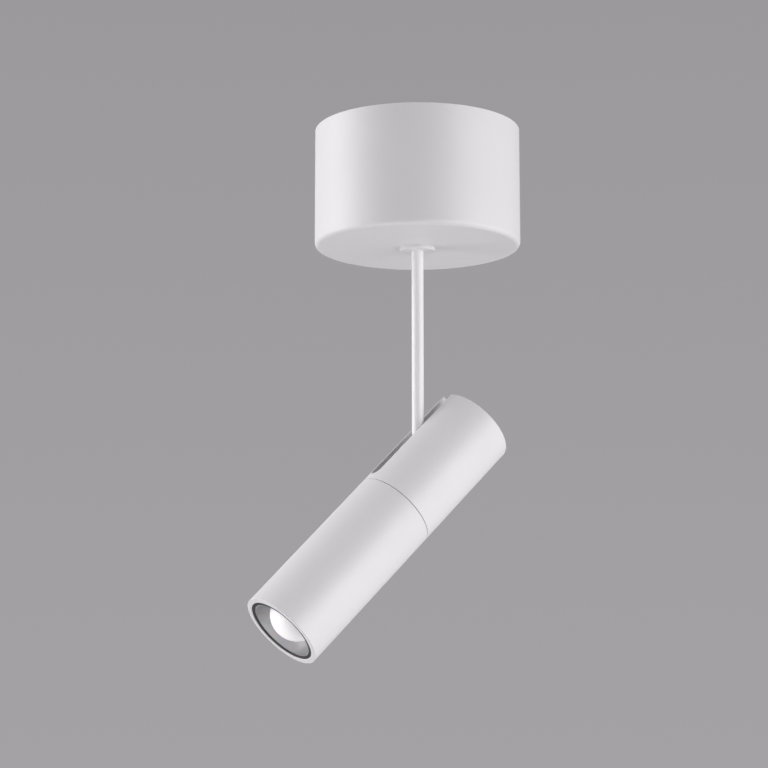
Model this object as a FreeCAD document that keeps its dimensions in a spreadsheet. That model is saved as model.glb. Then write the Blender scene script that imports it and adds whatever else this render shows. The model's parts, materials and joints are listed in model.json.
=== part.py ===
import FreeCAD, Part
import math
import os
import re

import Sketcher

# Ceiling spotlight: a round canopy that holds the driver, a thin rod that turns in it, and a tubular
# head that tilts on the rod's end inside a slotted rear housing.
# Millimetres and degrees. Z = 0 is the ceiling, the light hangs to -Z, and the head's tilt plane is XZ.
# The head is drawn in its own frame: origin on the tilt pivot, +Z to its rear, -Z to its mouth, and the
# slot on its -X side. Its placement then turns it by rest_tilt about Y.

SIZES = [
    # name, value, meaning
    ("canopy_radius", 52.0, "outside of the drum"),
    ("canopy_height", 61.0, "ceiling to the drum's underside"),
    ("canopy_wall", 2.0, "drum's side and floor"),
    ("canopy_round", 2.5, "rounding of the drum's lower edge"),
    ("ceiling_gap", 0.3, "ceiling to the drum's upper rim"),
    ("plate_thickness", 1.5, "ceiling plate and its turned flange"),
    ("flange_height", 12.0, "depth of the plate's turned flange"),
    ("flange_gap", 0.25, "plate flange to the drum, all round"),
    ("fixing_spacing", 56.0, "between the middles of the two fixing slots"),
    ("fixing_width", 4.5, "width of a fixing slot"),
    ("fixing_length", 12.0, "end to end length of a fixing slot"),
    ("cable_hole_radius", 8.0, "hole in the plate that the grommet lines"),
    ("grommet_bore_radius", 5.0, "cable way through the grommet"),
    ("grommet_lip", 2.0, "how far the grommet's lip laps the plate"),
    ("grommet_lip_height", 1.5, "thickness of the grommet's lip"),
    ("side_screw_radius", 1.5, "thread of the drum's grub screws"),
    ("side_screw_length", 5.0, "length of the drum's grub screws"),
    ("side_screw_socket", 1.5, "across the flats of their sockets"),
    ("side_screw_level", 7.0, "ceiling to the grub screws' axis"),
    ("side_screw_angle", 150.0, "direction of the first grub screw about Z"),
    ("side_screw_sink", 0.1, "grub screw's face below the drum's surface"),
    ("swivel_plate_radius", 22.0, "stiffening disc on the drum's floor"),
    ("swivel_plate_thickness", 2.0, "its thickness"),
    ("bush_radius", 4.5, "sleeve of the swivel bush"),
    ("bush_flange_radius", 7.5, "flange of the swivel bush"),
    ("bush_flange_height", 1.5, "its thickness"),
    ("turning_gap", 0.05, "radial clearance of turning fits"),
    ("stop_pin_radius", 1.0, "fixed pin of the rotation stop"),
    ("stop_pin_place", 10.5, "rod axis to the stop pin"),
    ("stop_pin_rise", 5.0, "stop pin above the stiffening disc"),
    ("driver_clearance", 1.3, "plate's flange to the nearest corner of the driver or its lugs"),
    ("driver_width", 24.0, "LED driver along Y"),
    ("driver_height", 24.0, "LED driver, case and cover"),
    ("driver_wall", 1.5, "walls of the driver's case"),
    ("driver_place", 11.0, "rod axis to the driver's near side"),
    ("driver_cover_height", 3.0, "its snap-on cover"),
    ("driver_gap", 0.2, "cover's plug to the case"),
    ("driver_window", 8.0, "across the wire windows in the case's ends"),
    ("driver_window_height", 4.0, "height of the wire windows"),
    ("lug_thickness", 1.5, "screw lugs of driver, terminal block and cable clamp"),
    ("lug_reach", 7.0, "how far a screw lug stands out"),
    ("lug_width", 9.0, "width of a screw lug"),
    ("board_thickness", 1.6, "circuit boards"),
    ("driver_pillar", 4.0, "driver's board above the case's floor"),
    ("pillar_inset", 4.0, "case's inner sides to a pillar's axis"),
    ("transformer_size", 16.0, "side of the driver's square transformer"),
    ("transformer_place", 1.0, "board's middle to the transformer's middle, along -X"),
    ("capacitor_radius", 4.0, "driver's capacitor"),
    ("capacitor_inset", 11.0, "board's end to the capacitor's axis"),
    ("terminal_length", 26.0, "terminal block along X"),
    ("terminal_width", 15.0, "terminal block along Y"),
    ("terminal_height", 15.0, "terminal block"),
    ("terminal_place", 21.0, "rod axis to the terminal block's near side"),
    ("terminal_pitch", 8.0, "between two poles"),
    ("terminal_bore_radius", 2.2, "wire ways through the block"),
    ("clamp_length", 13.0, "cable clamp's arch along X, without its feet"),
    ("clamp_width", 7.0, "cable clamp along Y"),
    ("clamp_height", 9.5, "cable clamp's arch"),
    ("clamp_place", 12.0, "rod axis to the clamp's near side"),
    ("clamp_sheet", 1.5, "thickness of its arch"),
    ("clamp_corner", 1.0, "bevel of its arch's corners"),
    ("small_screw_radius", 1.5, "thread of the canopy's inner screws"),
    ("small_head_radius", 2.7, "their heads"),
    ("small_head_height", 1.8, "height of their heads"),
    ("small_slot_width", 0.8, "driver slot in their heads"),
    ("earth_margin", 9.65, "plate's flange to the earth screw's axis"),
    ("earth_angle", -31.2, "direction of the earth screw about Z"),
    ("earth_washer_radius", 4.0, "star washer of the earth screw"),
    ("earth_washer_height", 0.8, "its thickness"),
    ("rod_radius", 3.0, "outside of the rod"),
    ("rod_bore_radius", 2.0, "wire way in the rod"),
    ("rod_drop", 120.6, "drum's underside to the tilt pivot"),
    ("collar_radius", 9.0, "disc on the rod under the drum"),
    ("collar_height", 1.5, "its thickness"),
    ("collar_round", 0.6, "rounding of its lower edge"),
    ("collar_gap", 0.3, "drum's underside to the collar"),
    ("thrust_radius", 6.8, "nylon thrust washer"),
    ("thrust_height", 0.8, "its thickness"),
    ("stop_disc_radius", 7.0, "rotation stop's disc"),
    ("stop_disc_height", 1.2, "its thickness"),
    ("stop_finger_reach", 12.5, "rod axis to the tip of its finger"),
    ("stop_finger_width", 2.5, "width of its finger"),
    ("spring_radius", 6.5, "dished spring washers"),
    ("spring_sheet", 0.5, "their sheet"),
    ("spring_dish", 0.5, "how far they are dished"),
    ("rod_nut_flats", 10.0, "across the flats of the rod's lock nut"),
    ("rod_nut_height", 6.0, "its height"),
    ("rod_end_rise", 3.0, "rod's threaded end above the nut"),
    ("end_bush_flange", 2.6, "radius of the wire bush in the rod's end"),
    ("end_bush_depth", 5.0, "how far it reaches into the rod"),
    ("end_bush_wall", 0.4, "its wall"),
    ("end_bush_lip", 0.8, "thickness of its flange"),
    ("lead_radius", 1.3, "twin lead in the rod and in the head"),
    ("lead_tail", 3.0, "lead above the rod's end"),
    ("knuckle_reach", 12.0, "pivot to the rod's lower end"),
    ("knuckle_plug", 8.0, "knuckle's spigot in the rod"),
    ("knuckle_neck", 3.0, "round part of the knuckle below the rod"),
    ("knuckle_blade", 3.6, "thickness of the knuckle's blade"),
    ("knuckle_eye_radius", 4.0, "round end of the blade"),
    ("window_height", 6.0, "wire window in the rod above the spigot"),
    ("window_width", 3.0, "its width"),
    ("rest_tilt", 45.0, "head's angle from straight down, at rest"),
    ("head_radius", 21.1, "outside of the head"),
    ("head_bore_radius", 18.4, "inside of both housings"),
    ("rear_reach", 44.9, "pivot to the head's rear end"),
    ("seam_reach", 19.3, "pivot to the seam"),
    ("mouth_reach", 105.4, "pivot to the head's mouth"),
    ("seam_gap", 0.3, "open line between the two housings"),
    ("head_edge", 0.3, "rounding of the housings' end edges"),
    ("seam_edge", 0.15, "rounding of their outer edges at the seam"),
    ("slot_width", 7.2, "slot that the rod swings in"),
    ("slot_reach", 15.2, "pivot to the slot's lower end"),
    ("slot_edge", 0.3, "rounding of the slot's outer edge"),
    ("cap_sink", 1.0, "rear cap below the rear edge"),
    ("cap_thickness", 2.5, "rear cap"),
    ("coupler_floor", 17.2, "pivot to the coupler's floor"),
    ("coupler_floor_thickness", 4.0, "its floor"),
    ("coupler_wall", 2.0, "its skirts"),
    ("coupler_rise", 14.0, "skirt pressed into the rear housing, above the floor"),
    ("coupler_thread", 12.0, "threaded skirt in the front housing, below the floor"),
    ("coupler_notch", 9.0, "notch in the upper skirt behind the slot"),
    ("yoke_length", 16.0, "yoke's foot along X"),
    ("yoke_foot", 2.0, "thickness of the yoke's foot"),
    ("yoke_ear", 2.0, "thickness of an ear"),
    ("yoke_ear_radius", 5.0, "round end of an ear"),
    ("friction_washer_height", 0.45, "washers between knuckle and ears"),
    ("friction_washer_radius", 4.0, "their outside"),
    ("pin_radius", 1.5, "hinge screw"),
    ("pin_head_radius", 2.75, "head of the hinge screw"),
    ("pin_head_height", 2.0, "its height"),
    ("pin_socket", 2.4, "across the flats of its socket"),
    ("pin_socket_depth", 1.2, "depth of its socket"),
    ("pin_tail", 0.5, "hinge screw's end past its nut"),
    ("pin_nut_flats", 5.5, "across the flats of the hinge nut"),
    ("pin_nut_height", 3.0, "its height"),
    ("yoke_screw_radius", 1.5, "screws that hold the yoke"),
    ("yoke_screw_spacing", 10.0, "between the two"),
    ("yoke_screw_head_radius", 2.7, "their heads"),
    ("yoke_screw_head_height", 2.0, "height of their heads"),
    ("lead_hole_radius", 1.75, "lead holes in the coupler and the heat sink"),
    ("lead_hole_place", 11.0, "head's axis to the lead"),
    ("lead_rise", 8.0, "head's lead above the coupler's floor"),
    ("sink_face", 18.4, "mouth to the heat sink's face"),
    ("sink_base", 6.0, "heat sink's base disc"),
    ("sink_length", 40.0, "heat sink, base and fins"),
    ("sink_core_radius", 8.0, "heat sink's core"),
    ("fin_count", 12, "heat sink's fins"),
    ("fin_thickness", 1.6, "each fin"),
    ("fin_gap", 0.4, "fins' tips to the housing"),
    ("pad_radius", 9.0, "thermal pad behind the LED board"),
    ("pad_thickness", 0.4, "its thickness"),
    ("led_board_radius", 14.0, "LED board"),
    ("emitter_radius", 6.5, "light emitting area on the board"),
    ("emitter_height", 0.6, "its height"),
    ("holder_bore_radius", 8.0, "hole in the LED holder"),
    ("holder_radius", 14.5, "LED holder"),
    ("holder_height", 2.0, "its thickness"),
    ("holder_screw_place", 12.0, "head's axis to the holder's screws"),
    ("holder_screw_radius", 1.0, "their thread"),
    ("holder_screw_head", 1.8, "radius of their heads"),
    ("holder_screw_head_height", 1.0, "height of their heads"),
    ("optic_radius", 18.3, "optic holder's outside"),
    ("optic_wall", 1.5, "its wall"),
    ("optic_shelf_depth", 12.0, "mouth to the shelf that carries the lens"),
    ("optic_shelf", 1.0, "thickness of that shelf"),
    ("optic_shelf_bore", 10.5, "its hole"),
    ("lens_radius", 12.5, "domed lens at its base"),
    ("lens_height", 11.5, "dome above its base"),
    ("lens_wall", 1.5, "lens, moulded hollow"),
    ("lens_flange", 1.5, "how far its flange stands out"),
    ("lens_flange_height", 1.5, "its flange"),
    ("reflector_sheet", 0.6, "reflector's wall"),
    ("reflector_rim_radius", 16.8, "reflector's rolled front rim"),
    ("reflector_rim_depth", 0.7, "mouth to the reflector's rim"),
    ("reflector_rim_height", 1.2, "straight part of the rim"),
    ("reflector_curve", 14.0, "radius of the bowl's side"),
    ("reflector_neck_gap", 0.4, "lens to the reflector's neck"),
    ("baffle_depth", 0.35, "mouth to the black ring"),
    ("baffle_height", 3.0, "the black ring"),
]
NAMES = [name for name, number, meaning in SIZES]

FLOOR_TOP = "(canopy_wall - canopy_height)"
PLATE_TOP = "(" + FLOOR_TOP + " + swivel_plate_thickness)"
BUSH_TOP = "(" + PLATE_TOP + " + bush_flange_height)"
THRUST_LEVEL = "(" + BUSH_TOP + " + turning_gap)"
STOP_LEVEL = "(" + THRUST_LEVEL + " + thrust_height)"
SPRING_LEVEL = "(" + STOP_LEVEL + " + stop_disc_height)"
NUT_LEVEL = "(" + SPRING_LEVEL + " + spring_sheet + spring_dish)"
ROD_TOP = "(" + NUT_LEVEL + " + rod_nut_height + rod_end_rise)"
PIVOT_LEVEL = "(-canopy_height - rod_drop)"
ROD_BOTTOM = "(" + PIVOT_LEVEL + " + knuckle_reach)"
EAR_INNER = "(knuckle_blade / 2 + turning_gap + friction_washer_height)"
EAR_OUTER = "(" + EAR_INNER + " + yoke_ear)"
MOUTH = "(-mouth_reach)"
SINK_LEVEL = "(sink_face - mouth_reach)"
BOARD_BACK = "(" + SINK_LEVEL + " - pad_thickness)"
BOARD_FRONT = "(" + BOARD_BACK + " - board_thickness)"
HOLDER_FRONT = "(" + BOARD_FRONT + " - holder_height)"
SHELF_LEVEL = "(optic_shelf_depth - mouth_reach)"
LENS_LEVEL = "(" + SHELF_LEVEL + " - lens_flange_height)"
COUPLER_TOP = "(coupler_rise - coupler_floor)"
COUPLER_UNDER = "(-coupler_floor - coupler_floor_thickness)"
DRIVER_MIDDLE = "(driver_place + driver_width / 2)"
TERMINAL_MIDDLE = "(-terminal_place - terminal_width / 2)"
CLAMP_MIDDLE = "(-clamp_place - clamp_width / 2)"
LUG_PLACE = "(lug_reach / 2)"
FLANGE_INSIDE = "(canopy_radius - canopy_wall - flange_gap - plate_thickness)"
DRIVER_ROOM = "(" + FLANGE_INSIDE + " - driver_clearance)"
DRIVER_LENGTH = ("(2 * min(sqrt(%s ^ 2 - (driver_place + driver_width) ^ 2); "
                 "sqrt(%s ^ 2 - (%s + lug_width / 2) ^ 2) - lug_reach))"
                 % (DRIVER_ROOM, DRIVER_ROOM, DRIVER_MIDDLE))
EARTH_X = "((" + FLANGE_INSIDE + " - earth_margin) * cos(earth_angle))"
EARTH_Y = "((" + FLANGE_INSIDE + " - earth_margin) * sin(earth_angle))"

PAST = "1"  # how far the outline of a cut runs past the solid
HEAD_SIDE = "0.6"  # straight side of a screw's pan head, as a share of its height
HEAD_TOP = "0.7"  # flat top of a pan head, as a share of its radius
SLOT_FLOOR = "0.5"  # floor of its driver slot, as a share of its height
NUT_BEVEL = "30"  # slope of a nut's turned corners
NEAR = 1e-4  # edges this close to a place are the ones that are meant


class Model:
    """The document, its sheet of sizes, and the few ways in which its sub-parts are drawn."""

    def __init__(self, name):
        self.doc = FreeCAD.newDocument(name)
        self.sheet = self.doc.addObject("Spreadsheet::Sheet", "Sizes")
        for row, (alias, number, meaning) in enumerate(SIZES, start=1):
            self.sheet.set("A%d" % row, alias)
            self.sheet.set("B%d" % row, str(number))
            self.sheet.set("C%d" % row, meaning)
            self.sheet.setAlias("B%d" % row, alias)
        self.doc.recompute()
        self.parts = []

    def formula(self, text):
        """The text with each size's name written as a cell of the sheet."""
        return re.sub(r"[a-z_]+\d*", self._cell, text)

    @staticmethod
    def _cell(match):
        word = match.group(0)
        return "Sizes." + word if word in NAMES else word

    def bind(self, thing, prop, text):
        thing.setExpression(prop, self.formula(text))

    # -- bodies ---------------------------------------------------------------------------------

    def body(self, name, x="0", y="0", z="0"):
        """A sub-part in the row's frame, with its own origin at x, y, z."""
        body = self.doc.addObject("PartDesign::Body", name)
        body.Label = name
        for axis, place in zip("xyz", (x, y, z)):
            self.bind(body, "Placement.Base." + axis, place)
        self.parts.append(body)
        return body

    def head_body(self, name, x="0", y="0", z="0"):
        """A sub-part in the head's frame, with its own origin at x, y, z of that frame."""
        body = self.body(name, "(%s) * cos(rest_tilt) + (%s) * sin(rest_tilt)" % (x, z), y,
                         "%s - (%s) * sin(rest_tilt) + (%s) * cos(rest_tilt)" % (PIVOT_LEVEL, x, z))
        body.Placement = FreeCAD.Placement(FreeCAD.Vector(), FreeCAD.Rotation(FreeCAD.Vector(0, 1, 0), 1))
        self.bind(body, "Placement.Rotation.Angle", "rest_tilt")
        return body

    def group(self, name, members):
        """Several like solids as one sub-part."""
        compound = self.doc.addObject("Part::Compound", name)
        compound.Label = name
        compound.Links = members
        for member in members:
            self.parts.remove(member)
        self.parts.append(compound)
        return compound

    # -- sketches -------------------------------------------------------------------------------

    def sketch(self, body, plane, level="0"):
        """An empty sketch on one of the body's own origin planes, level away along its normal."""
        sketch = body.newObject("Sketcher::SketchObject", body.Name + "_sketch")
        support = [item for item in body.Origin.OriginFeatures if item.Role == plane + "_Plane"][0]
        sketch.AttachmentSupport = (support, [""])
        sketch.MapMode = "FlatFace"
        self.bind(sketch, "AttachmentOffset.Base.z", level)
        return sketch

    def pin_point(self, sketch, geometry, point, x, y):
        """Holds one point of a sketch at x, y from its origin."""
        for kind, place in (("DistanceX", x), ("DistanceY", y)):
            held = Sketcher.Constraint(kind, -1, 1, geometry, point, self.value(place))
            number = sketch.addConstraint(held)
            name = "%s_%d_%d" % (kind, geometry, point)
            sketch.renameConstraint(number, name)
            self.bind(sketch, "Constraints." + name, place)

    def outline(self, sketch, corners):
        """A closed outline through the corners, each an (x, y) pair.

        Edges are straight, but a corner written (x, y, radius, side) starts an arc of that radius,
        whose centre is on the left of the way to the next corner for side 1 and on the right for -1.
        """
        first = sketch.GeometryCount
        count = len(corners)
        spots = [FreeCAD.Vector(self.value(corner[0]), self.value(corner[1]), 0) for corner in corners]
        ends = []
        for index, corner in enumerate(corners):
            start, stop = spots[index], spots[(index + 1) % count]
            if len(corner) == 2:
                sketch.addGeometry(Part.LineSegment(start, stop))
                ends.append((1, 2))
                continue
            radius, side = self.value(corner[2]), corner[3]
            chord = stop - start
            left = FreeCAD.Vector(-chord.y, chord.x, 0).normalize()
            rise = (radius ** 2 - (chord.Length / 2) ** 2) ** 0.5
            centre = (start + stop) * 0.5 + left * (rise * side)
            angles = [math.atan2(spot.y - centre.y, spot.x - centre.x) for spot in (start, stop)][::side]
            round_edge = Part.Circle(centre, FreeCAD.Vector(0, 0, 1), radius)
            sketch.addGeometry(Part.ArcOfCircle(round_edge, *angles))
            ends.append((1, 2) if side > 0 else (2, 1))
            held = sketch.addConstraint(Sketcher.Constraint("Radius", first + index, radius))
            sketch.renameConstraint(held, "bend_%d" % (first + index))
            self.bind(sketch, "Constraints.bend_%d" % (first + index), corner[2])
        for index in range(count):
            after = (index + 1) % count
            sketch.addConstraint(Sketcher.Constraint(
                "Coincident", first + index, ends[index][1], first + after, ends[after][0]))
        for index, corner in enumerate(corners):
            self.pin_point(sketch, first + index, ends[index][0], corner[0], corner[1])
        return sketch

    def value(self, text):
        return float(self.sheet.evalExpression(self.formula(text)))

    def circle(self, sketch, radius, x="0", y="0"):
        centre = FreeCAD.Vector(self.value(x), self.value(y), 0)
        round_edge = Part.Circle(centre, FreeCAD.Vector(0, 0, 1), self.value(radius))
        number = sketch.addGeometry(round_edge)
        self.pin_point(sketch, number, 3, x, y)
        held = sketch.addConstraint(Sketcher.Constraint("Radius", number, self.value(radius)))
        sketch.renameConstraint(held, "radius_%d" % number)
        self.bind(sketch, "Constraints.radius_%d" % number, radius)
        return sketch

    # -- features -------------------------------------------------------------------------------

    def turned(self, body, corners, plane="XZ"):
        """A solid of revolution about Z, or on the XY plane about Y; corners are (radius, height)."""
        sketch = self.outline(self.sketch(body, plane), corners)
        feature = body.newObject("PartDesign::Revolution", body.Name + "_turned")
        feature.Profile = sketch
        feature.ReferenceAxis = (sketch, ["V_Axis"])
        feature.Angle = 360.0
        return feature

    def ring(self, body, inner, outer, low, high):
        """A plain ring about Z."""
        return self.turned(body, [(inner, low), (outer, low), (outer, high), (inner, high)])

    def groove(self, body, corners):
        """Turns the ring with this outline away, about Z."""
        feature = body.newObject("PartDesign::Groove", body.Name + "_groove")
        feature.Profile = self.outline(self.sketch(body, "XZ"), corners)
        feature.ReferenceAxis = (feature.Profile[0], ["V_Axis"])
        feature.Angle = 360.0
        return feature

    def hexagon(self, sketch, flats):
        """A regular hexagon about the sketch's origin."""
        corners = []
        reach = "%s / sqrt(3)" % flats
        for turn in range(0, 360, 60):
            corners.append(("%s * cos(%d)" % (reach, turn), "%s * sin(%d)" % (reach, turn)))
        return self.outline(sketch, corners)

    def rectangle(self, sketch, low_x, high_x, low_y, high_y):
        return self.outline(sketch, [(low_x, low_y), (high_x, low_y), (high_x, high_y), (low_x, high_y)])

    def pad(self, body, sketch, length, middle=False):
        feature = body.newObject("PartDesign::Pad", body.Name + "_pad")
        feature.Profile = sketch
        feature.SideType = "Symmetric" if middle else "One side"
        self.bind(feature, "Length", length)
        return feature

    def pocket(self, body, sketch, length=None, middle=False, turned=False):
        """A cut against the sketch's normal, or along it when turned; through all without a length."""
        feature = body.newObject("PartDesign::Pocket", body.Name + "_pocket")
        feature.Profile = sketch
        feature.SideType = "Symmetric" if middle else "One side"
        feature.Reversed = turned
        if length is None:
            feature.Type = "ThroughAll"
        else:
            self.bind(feature, "Length", length)
        return feature

    def repeated(self, body, feature, count):
        """Equal copies of a feature about the body's Z."""
        pattern = body.newObject("PartDesign::PolarPattern", body.Name + "_pattern")
        pattern.Originals = [feature]
        axis = [item for item in body.Origin.OriginFeatures if item.Role == "Z_Axis"][0]
        pattern.Axis = (axis, [""])
        pattern.Angle = 360.0
        self.bind(pattern, "Occurrences", count)
        body.Tip = pattern
        return pattern

    def rounded(self, body, feature, radius, wanted):
        """Rounds those edges of a feature for which wanted(edge) is true."""
        self.doc.recompute()
        names = []
        for number, edge in enumerate(feature.Shape.Edges, start=1):
            if wanted(edge):
                names.append("Edge%d" % number)
        fillet = body.newObject("PartDesign::Fillet", body.Name + "_fillet")
        fillet.Base = (feature, names)
        self.bind(fillet, "Radius", radius)
        return fillet

    def rims(self, *places):
        """A test for the circles about Z with these (radius, height) pairs."""
        numbers = [(self.value(reach), self.value(level)) for reach, level in places]

        def wanted(edge):
            if not isinstance(edge.Curve, Part.Circle):
                return False
            return any(abs(edge.Curve.Radius - reach) < NEAR and abs(edge.Curve.Center.z - level) < NEAR
                       for reach, level in numbers)

        return wanted

    def slotted_screw(self, body, head_radius, head_height, radius, length, up="1"):
        """A pan head screw along Z, its head's seat at Z = 0 and its head on the side that up says."""
        self.turned(body, [
            ("0", "-(%s) * (%s)" % (length, up)), (radius, "-(%s) * (%s)" % (length, up)),
            (radius, "0"), (head_radius, "0"),
            (head_radius, "%s * (%s) * (%s)" % (HEAD_SIDE, head_height, up)),
            ("%s * (%s)" % (HEAD_TOP, head_radius), "(%s) * (%s)" % (head_height, up)),
            ("0", "(%s) * (%s)" % (head_height, up))])
        cut = self.sketch(body, "XZ")
        half = "small_slot_width / 2"
        deep = "%s * (%s) * (%s)" % (SLOT_FLOOR, head_height, up)
        top = "(%s + %s) * (%s)" % (head_height, PAST, up)
        self.outline(cut, [("-" + half, deep), (half, deep), (half, top), ("-" + half, top)])
        self.pocket(body, cut, middle=True)

    # -- the end --------------------------------------------------------------------------------

    def export(self):
        """Checks every object, then writes one STEP file for each sub-part."""
        self.doc.recompute()
        for item in self.doc.Objects:
            if "Invalid" in item.State or "Error" in item.State:
                raise RuntimeError("%s failed: %s" % (item.Label, item.State))
        os.makedirs("parts", exist_ok=True)
        for part in self.parts:
            shape = part.Shape
            if shape.isNull() or not shape.isValid() or shape.Volume <= 0:
                raise RuntimeError(part.Label + " has no sound shape")
            shape.exportStep("parts/%s.step" % part.Label)
            print("%-20s %9.1f mm3, %d solid(s)" % (part.Label, shape.Volume, len(shape.Solids)))


# -- canopy: everything that stays on the ceiling --------------------------------------------------

def side_screw_holes(model, body):
    """Two opposite radial holes for the grub screws that join the drum to the ceiling plate."""
    sketch = model.sketch(body, "XZ")
    turn = FreeCAD.Rotation(FreeCAD.Vector(0, 1, 0), 1)
    sketch.AttachmentOffset = FreeCAD.Placement(FreeCAD.Vector(), turn)
    model.bind(sketch, "AttachmentOffset.Rotation.Angle", "side_screw_angle - 90")
    model.circle(sketch, "side_screw_radius", "0", "-side_screw_level")
    return model.pocket(body, sketch, middle=True)


def ceiling_plate(model):
    """Pressed steel pan that is screwed to the ceiling: slots, cable hole and screw holes."""
    body = model.body("ceiling_plate")
    rim = "canopy_radius - canopy_wall - flange_gap"
    model.turned(body, [
        ("cable_hole_radius", "-plate_thickness"), (FLANGE_INSIDE, "-plate_thickness"),
        (FLANGE_INSIDE, "-flange_height"), (rim, "-flange_height"),
        (rim, "0"), ("cable_hole_radius", "0")])
    straight = "(fixing_length - fixing_width) / 2"
    slots = model.sketch(body, "XY")
    ends = model.sketch(body, "XY")
    for side in ("-1", "1"):
        middle = "%s * fixing_spacing / 2" % side
        model.rectangle(slots, "%s - %s" % (middle, straight), "%s + %s" % (middle, straight),
                        "-fixing_width / 2", "fixing_width / 2")
        for end in ("-", "+"):
            model.circle(ends, "fixing_width / 2", "%s %s %s" % (middle, end, straight))
    model.pocket(body, slots, middle=True)
    model.pocket(body, ends, middle=True)
    holes = model.sketch(body, "XY")
    for x, y in plate_screw_places():
        model.circle(holes, "small_screw_radius", x, y)
    model.circle(holes, "small_screw_radius", EARTH_X, EARTH_Y)
    model.pocket(body, holes, middle=True)
    side_screw_holes(model, body)


def plate_screw_places():
    """Where the driver, the terminal block and the cable clamp are screwed to the ceiling plate."""
    places = []
    for side in ("-1", "1"):
        for length, middle in ((DRIVER_LENGTH, DRIVER_MIDDLE), ("terminal_length", TERMINAL_MIDDLE),
                               ("clamp_length", CLAMP_MIDDLE)):
            places.append(("%s * (%s / 2 + %s)" % (side, length, LUG_PLACE), middle))
    return places


def cable_grommet(model):
    """Rubber sleeve in the plate's cable hole, with its lip on the underside."""
    body = model.body("cable_grommet")
    under = "-plate_thickness - grommet_lip_height"
    model.turned(body, [
        ("grommet_bore_radius", under), ("cable_hole_radius + grommet_lip", under),
        ("cable_hole_radius + grommet_lip", "-plate_thickness"), ("cable_hole_radius", "-plate_thickness"),
        ("cable_hole_radius", "0"), ("grommet_bore_radius", "0")])


def canopy_shell(model):
    """Drawn drum, open to the ceiling, with the bush's hole in the middle of its floor."""
    body = model.body("canopy_shell")
    inside = "canopy_radius - canopy_wall"
    feature = model.turned(body, [
        ("bush_radius", "-canopy_height"), ("canopy_radius", "-canopy_height"),
        ("canopy_radius", "-ceiling_gap"), (inside, "-ceiling_gap"),
        (inside, FLOOR_TOP), ("bush_radius", FLOOR_TOP)])
    model.rounded(body, feature, "canopy_round", model.rims(("canopy_radius", "-canopy_height")))
    side_screw_holes(model, body)


def canopy_grub_screws(model):
    """Two headless hexagon socket screws, radial, just below the drum's surface."""
    screws = []
    for number, turn in enumerate((0, 180), start=1):
        angle = "(side_screw_angle + %d)" % turn
        reach = "(canopy_radius - side_screw_sink - side_screw_length)"
        body = model.body("canopy_grub_screw_%d" % number, "%s * cos%s" % (reach, angle),
                          "%s * sin%s" % (reach, angle), "-side_screw_level")
        across = FreeCAD.Vector(-model.value("sin" + angle), model.value("cos" + angle), 0)
        body.Placement = FreeCAD.Placement(FreeCAD.Vector(), FreeCAD.Rotation(across, 90))
        model.pad(body, model.circle(model.sketch(body, "XY"), "side_screw_radius"), "side_screw_length")
        socket = model.hexagon(model.sketch(body, "XY", "side_screw_length"), "side_screw_socket")
        model.pocket(body, socket, "side_screw_length / 2")
        screws.append(body)
    model.group("canopy_grub_screws", screws)


def swivel_plate(model):
    """Steel disc that stiffens the drum's floor, with the hole that the stop pin is pressed into."""
    body = model.body("swivel_plate", z=FLOOR_TOP)
    model.ring(body, "bush_radius", "swivel_plate_radius", "0", "swivel_plate_thickness")
    hole = model.circle(model.sketch(body, "XY"), "stop_pin_radius", "-stop_pin_place")
    model.pocket(body, hole, middle=True)


def swivel_bush(model):
    """Flanged brass bush that the rod turns in, flush with the drum's underside."""
    body = model.body("swivel_bush", z=PLATE_TOP)
    bore = "rod_radius + turning_gap"
    under = "-canopy_wall - swivel_plate_thickness"
    model.turned(body, [
        (bore, under), ("bush_radius", under), ("bush_radius", "0"), ("bush_flange_radius", "0"),
        ("bush_flange_radius", "bush_flange_height"), (bore, "bush_flange_height")])


def stop_pin(model):
    """Fixed pin that ends the rod's turn."""
    body = model.body("stop_pin", x="-stop_pin_place", z=FLOOR_TOP)
    model.pad(body, model.circle(model.sketch(body, "XY"), "stop_pin_radius"),
              "swivel_plate_thickness + stop_pin_rise")


def lugs(model, body, length):
    """Two screw lugs at the ends of a piece that lies against the ceiling plate."""
    half = "(%s / 2 + lug_reach)" % length
    foot = model.rectangle(model.sketch(body, "XY", "-lug_thickness"),
                           "-" + half, half, "-lug_width / 2", "lug_width / 2")
    model.pad(body, foot, "lug_thickness")
    holes = model.sketch(body, "XY")
    for side in ("-1", "1"):
        model.circle(holes, "small_screw_radius", "%s * (%s / 2 + %s)" % (side, length, LUG_PLACE))
    model.pocket(body, holes, middle=True)


def driver_case(model):
    """Moulded box of the LED driver, open downwards, with lugs, board pillars and wire windows."""
    body = model.body("driver_case", y=DRIVER_MIDDLE, z="-plate_thickness")
    depth = "(driver_height - driver_cover_height)"
    end = "(" + DRIVER_LENGTH + " / 2)"
    block = model.rectangle(model.sketch(body, "XY", "-" + depth), "-" + end, end,
                            "-driver_width / 2", "driver_width / 2")
    model.pad(body, block, depth)
    inner_x = "(" + end + " - driver_wall)"
    inner_y = "(driver_width / 2 - driver_wall)"
    room = model.rectangle(model.sketch(body, "XY", "-" + depth), "-" + inner_x, inner_x,
                           "-" + inner_y, inner_y)
    model.pocket(body, room, depth + " - driver_wall", turned=True)
    pillars = model.sketch(body, "XY", "-driver_wall - driver_pillar")
    for side_x in ("-", ""):
        for side_y in ("-", ""):
            model.circle(pillars, "small_screw_radius", "%s(%s - pillar_inset)" % (side_x, inner_x),
                         "%s(%s - pillar_inset)" % (side_y, inner_y))
    model.pad(body, pillars, "driver_pillar")
    window = model.rectangle(model.sketch(body, "YZ"), "-driver_window / 2", "driver_window / 2",
                             "-" + depth, "driver_window_height - " + depth)
    model.pocket(body, window, middle=True)
    lugs(model, body, DRIVER_LENGTH)


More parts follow.
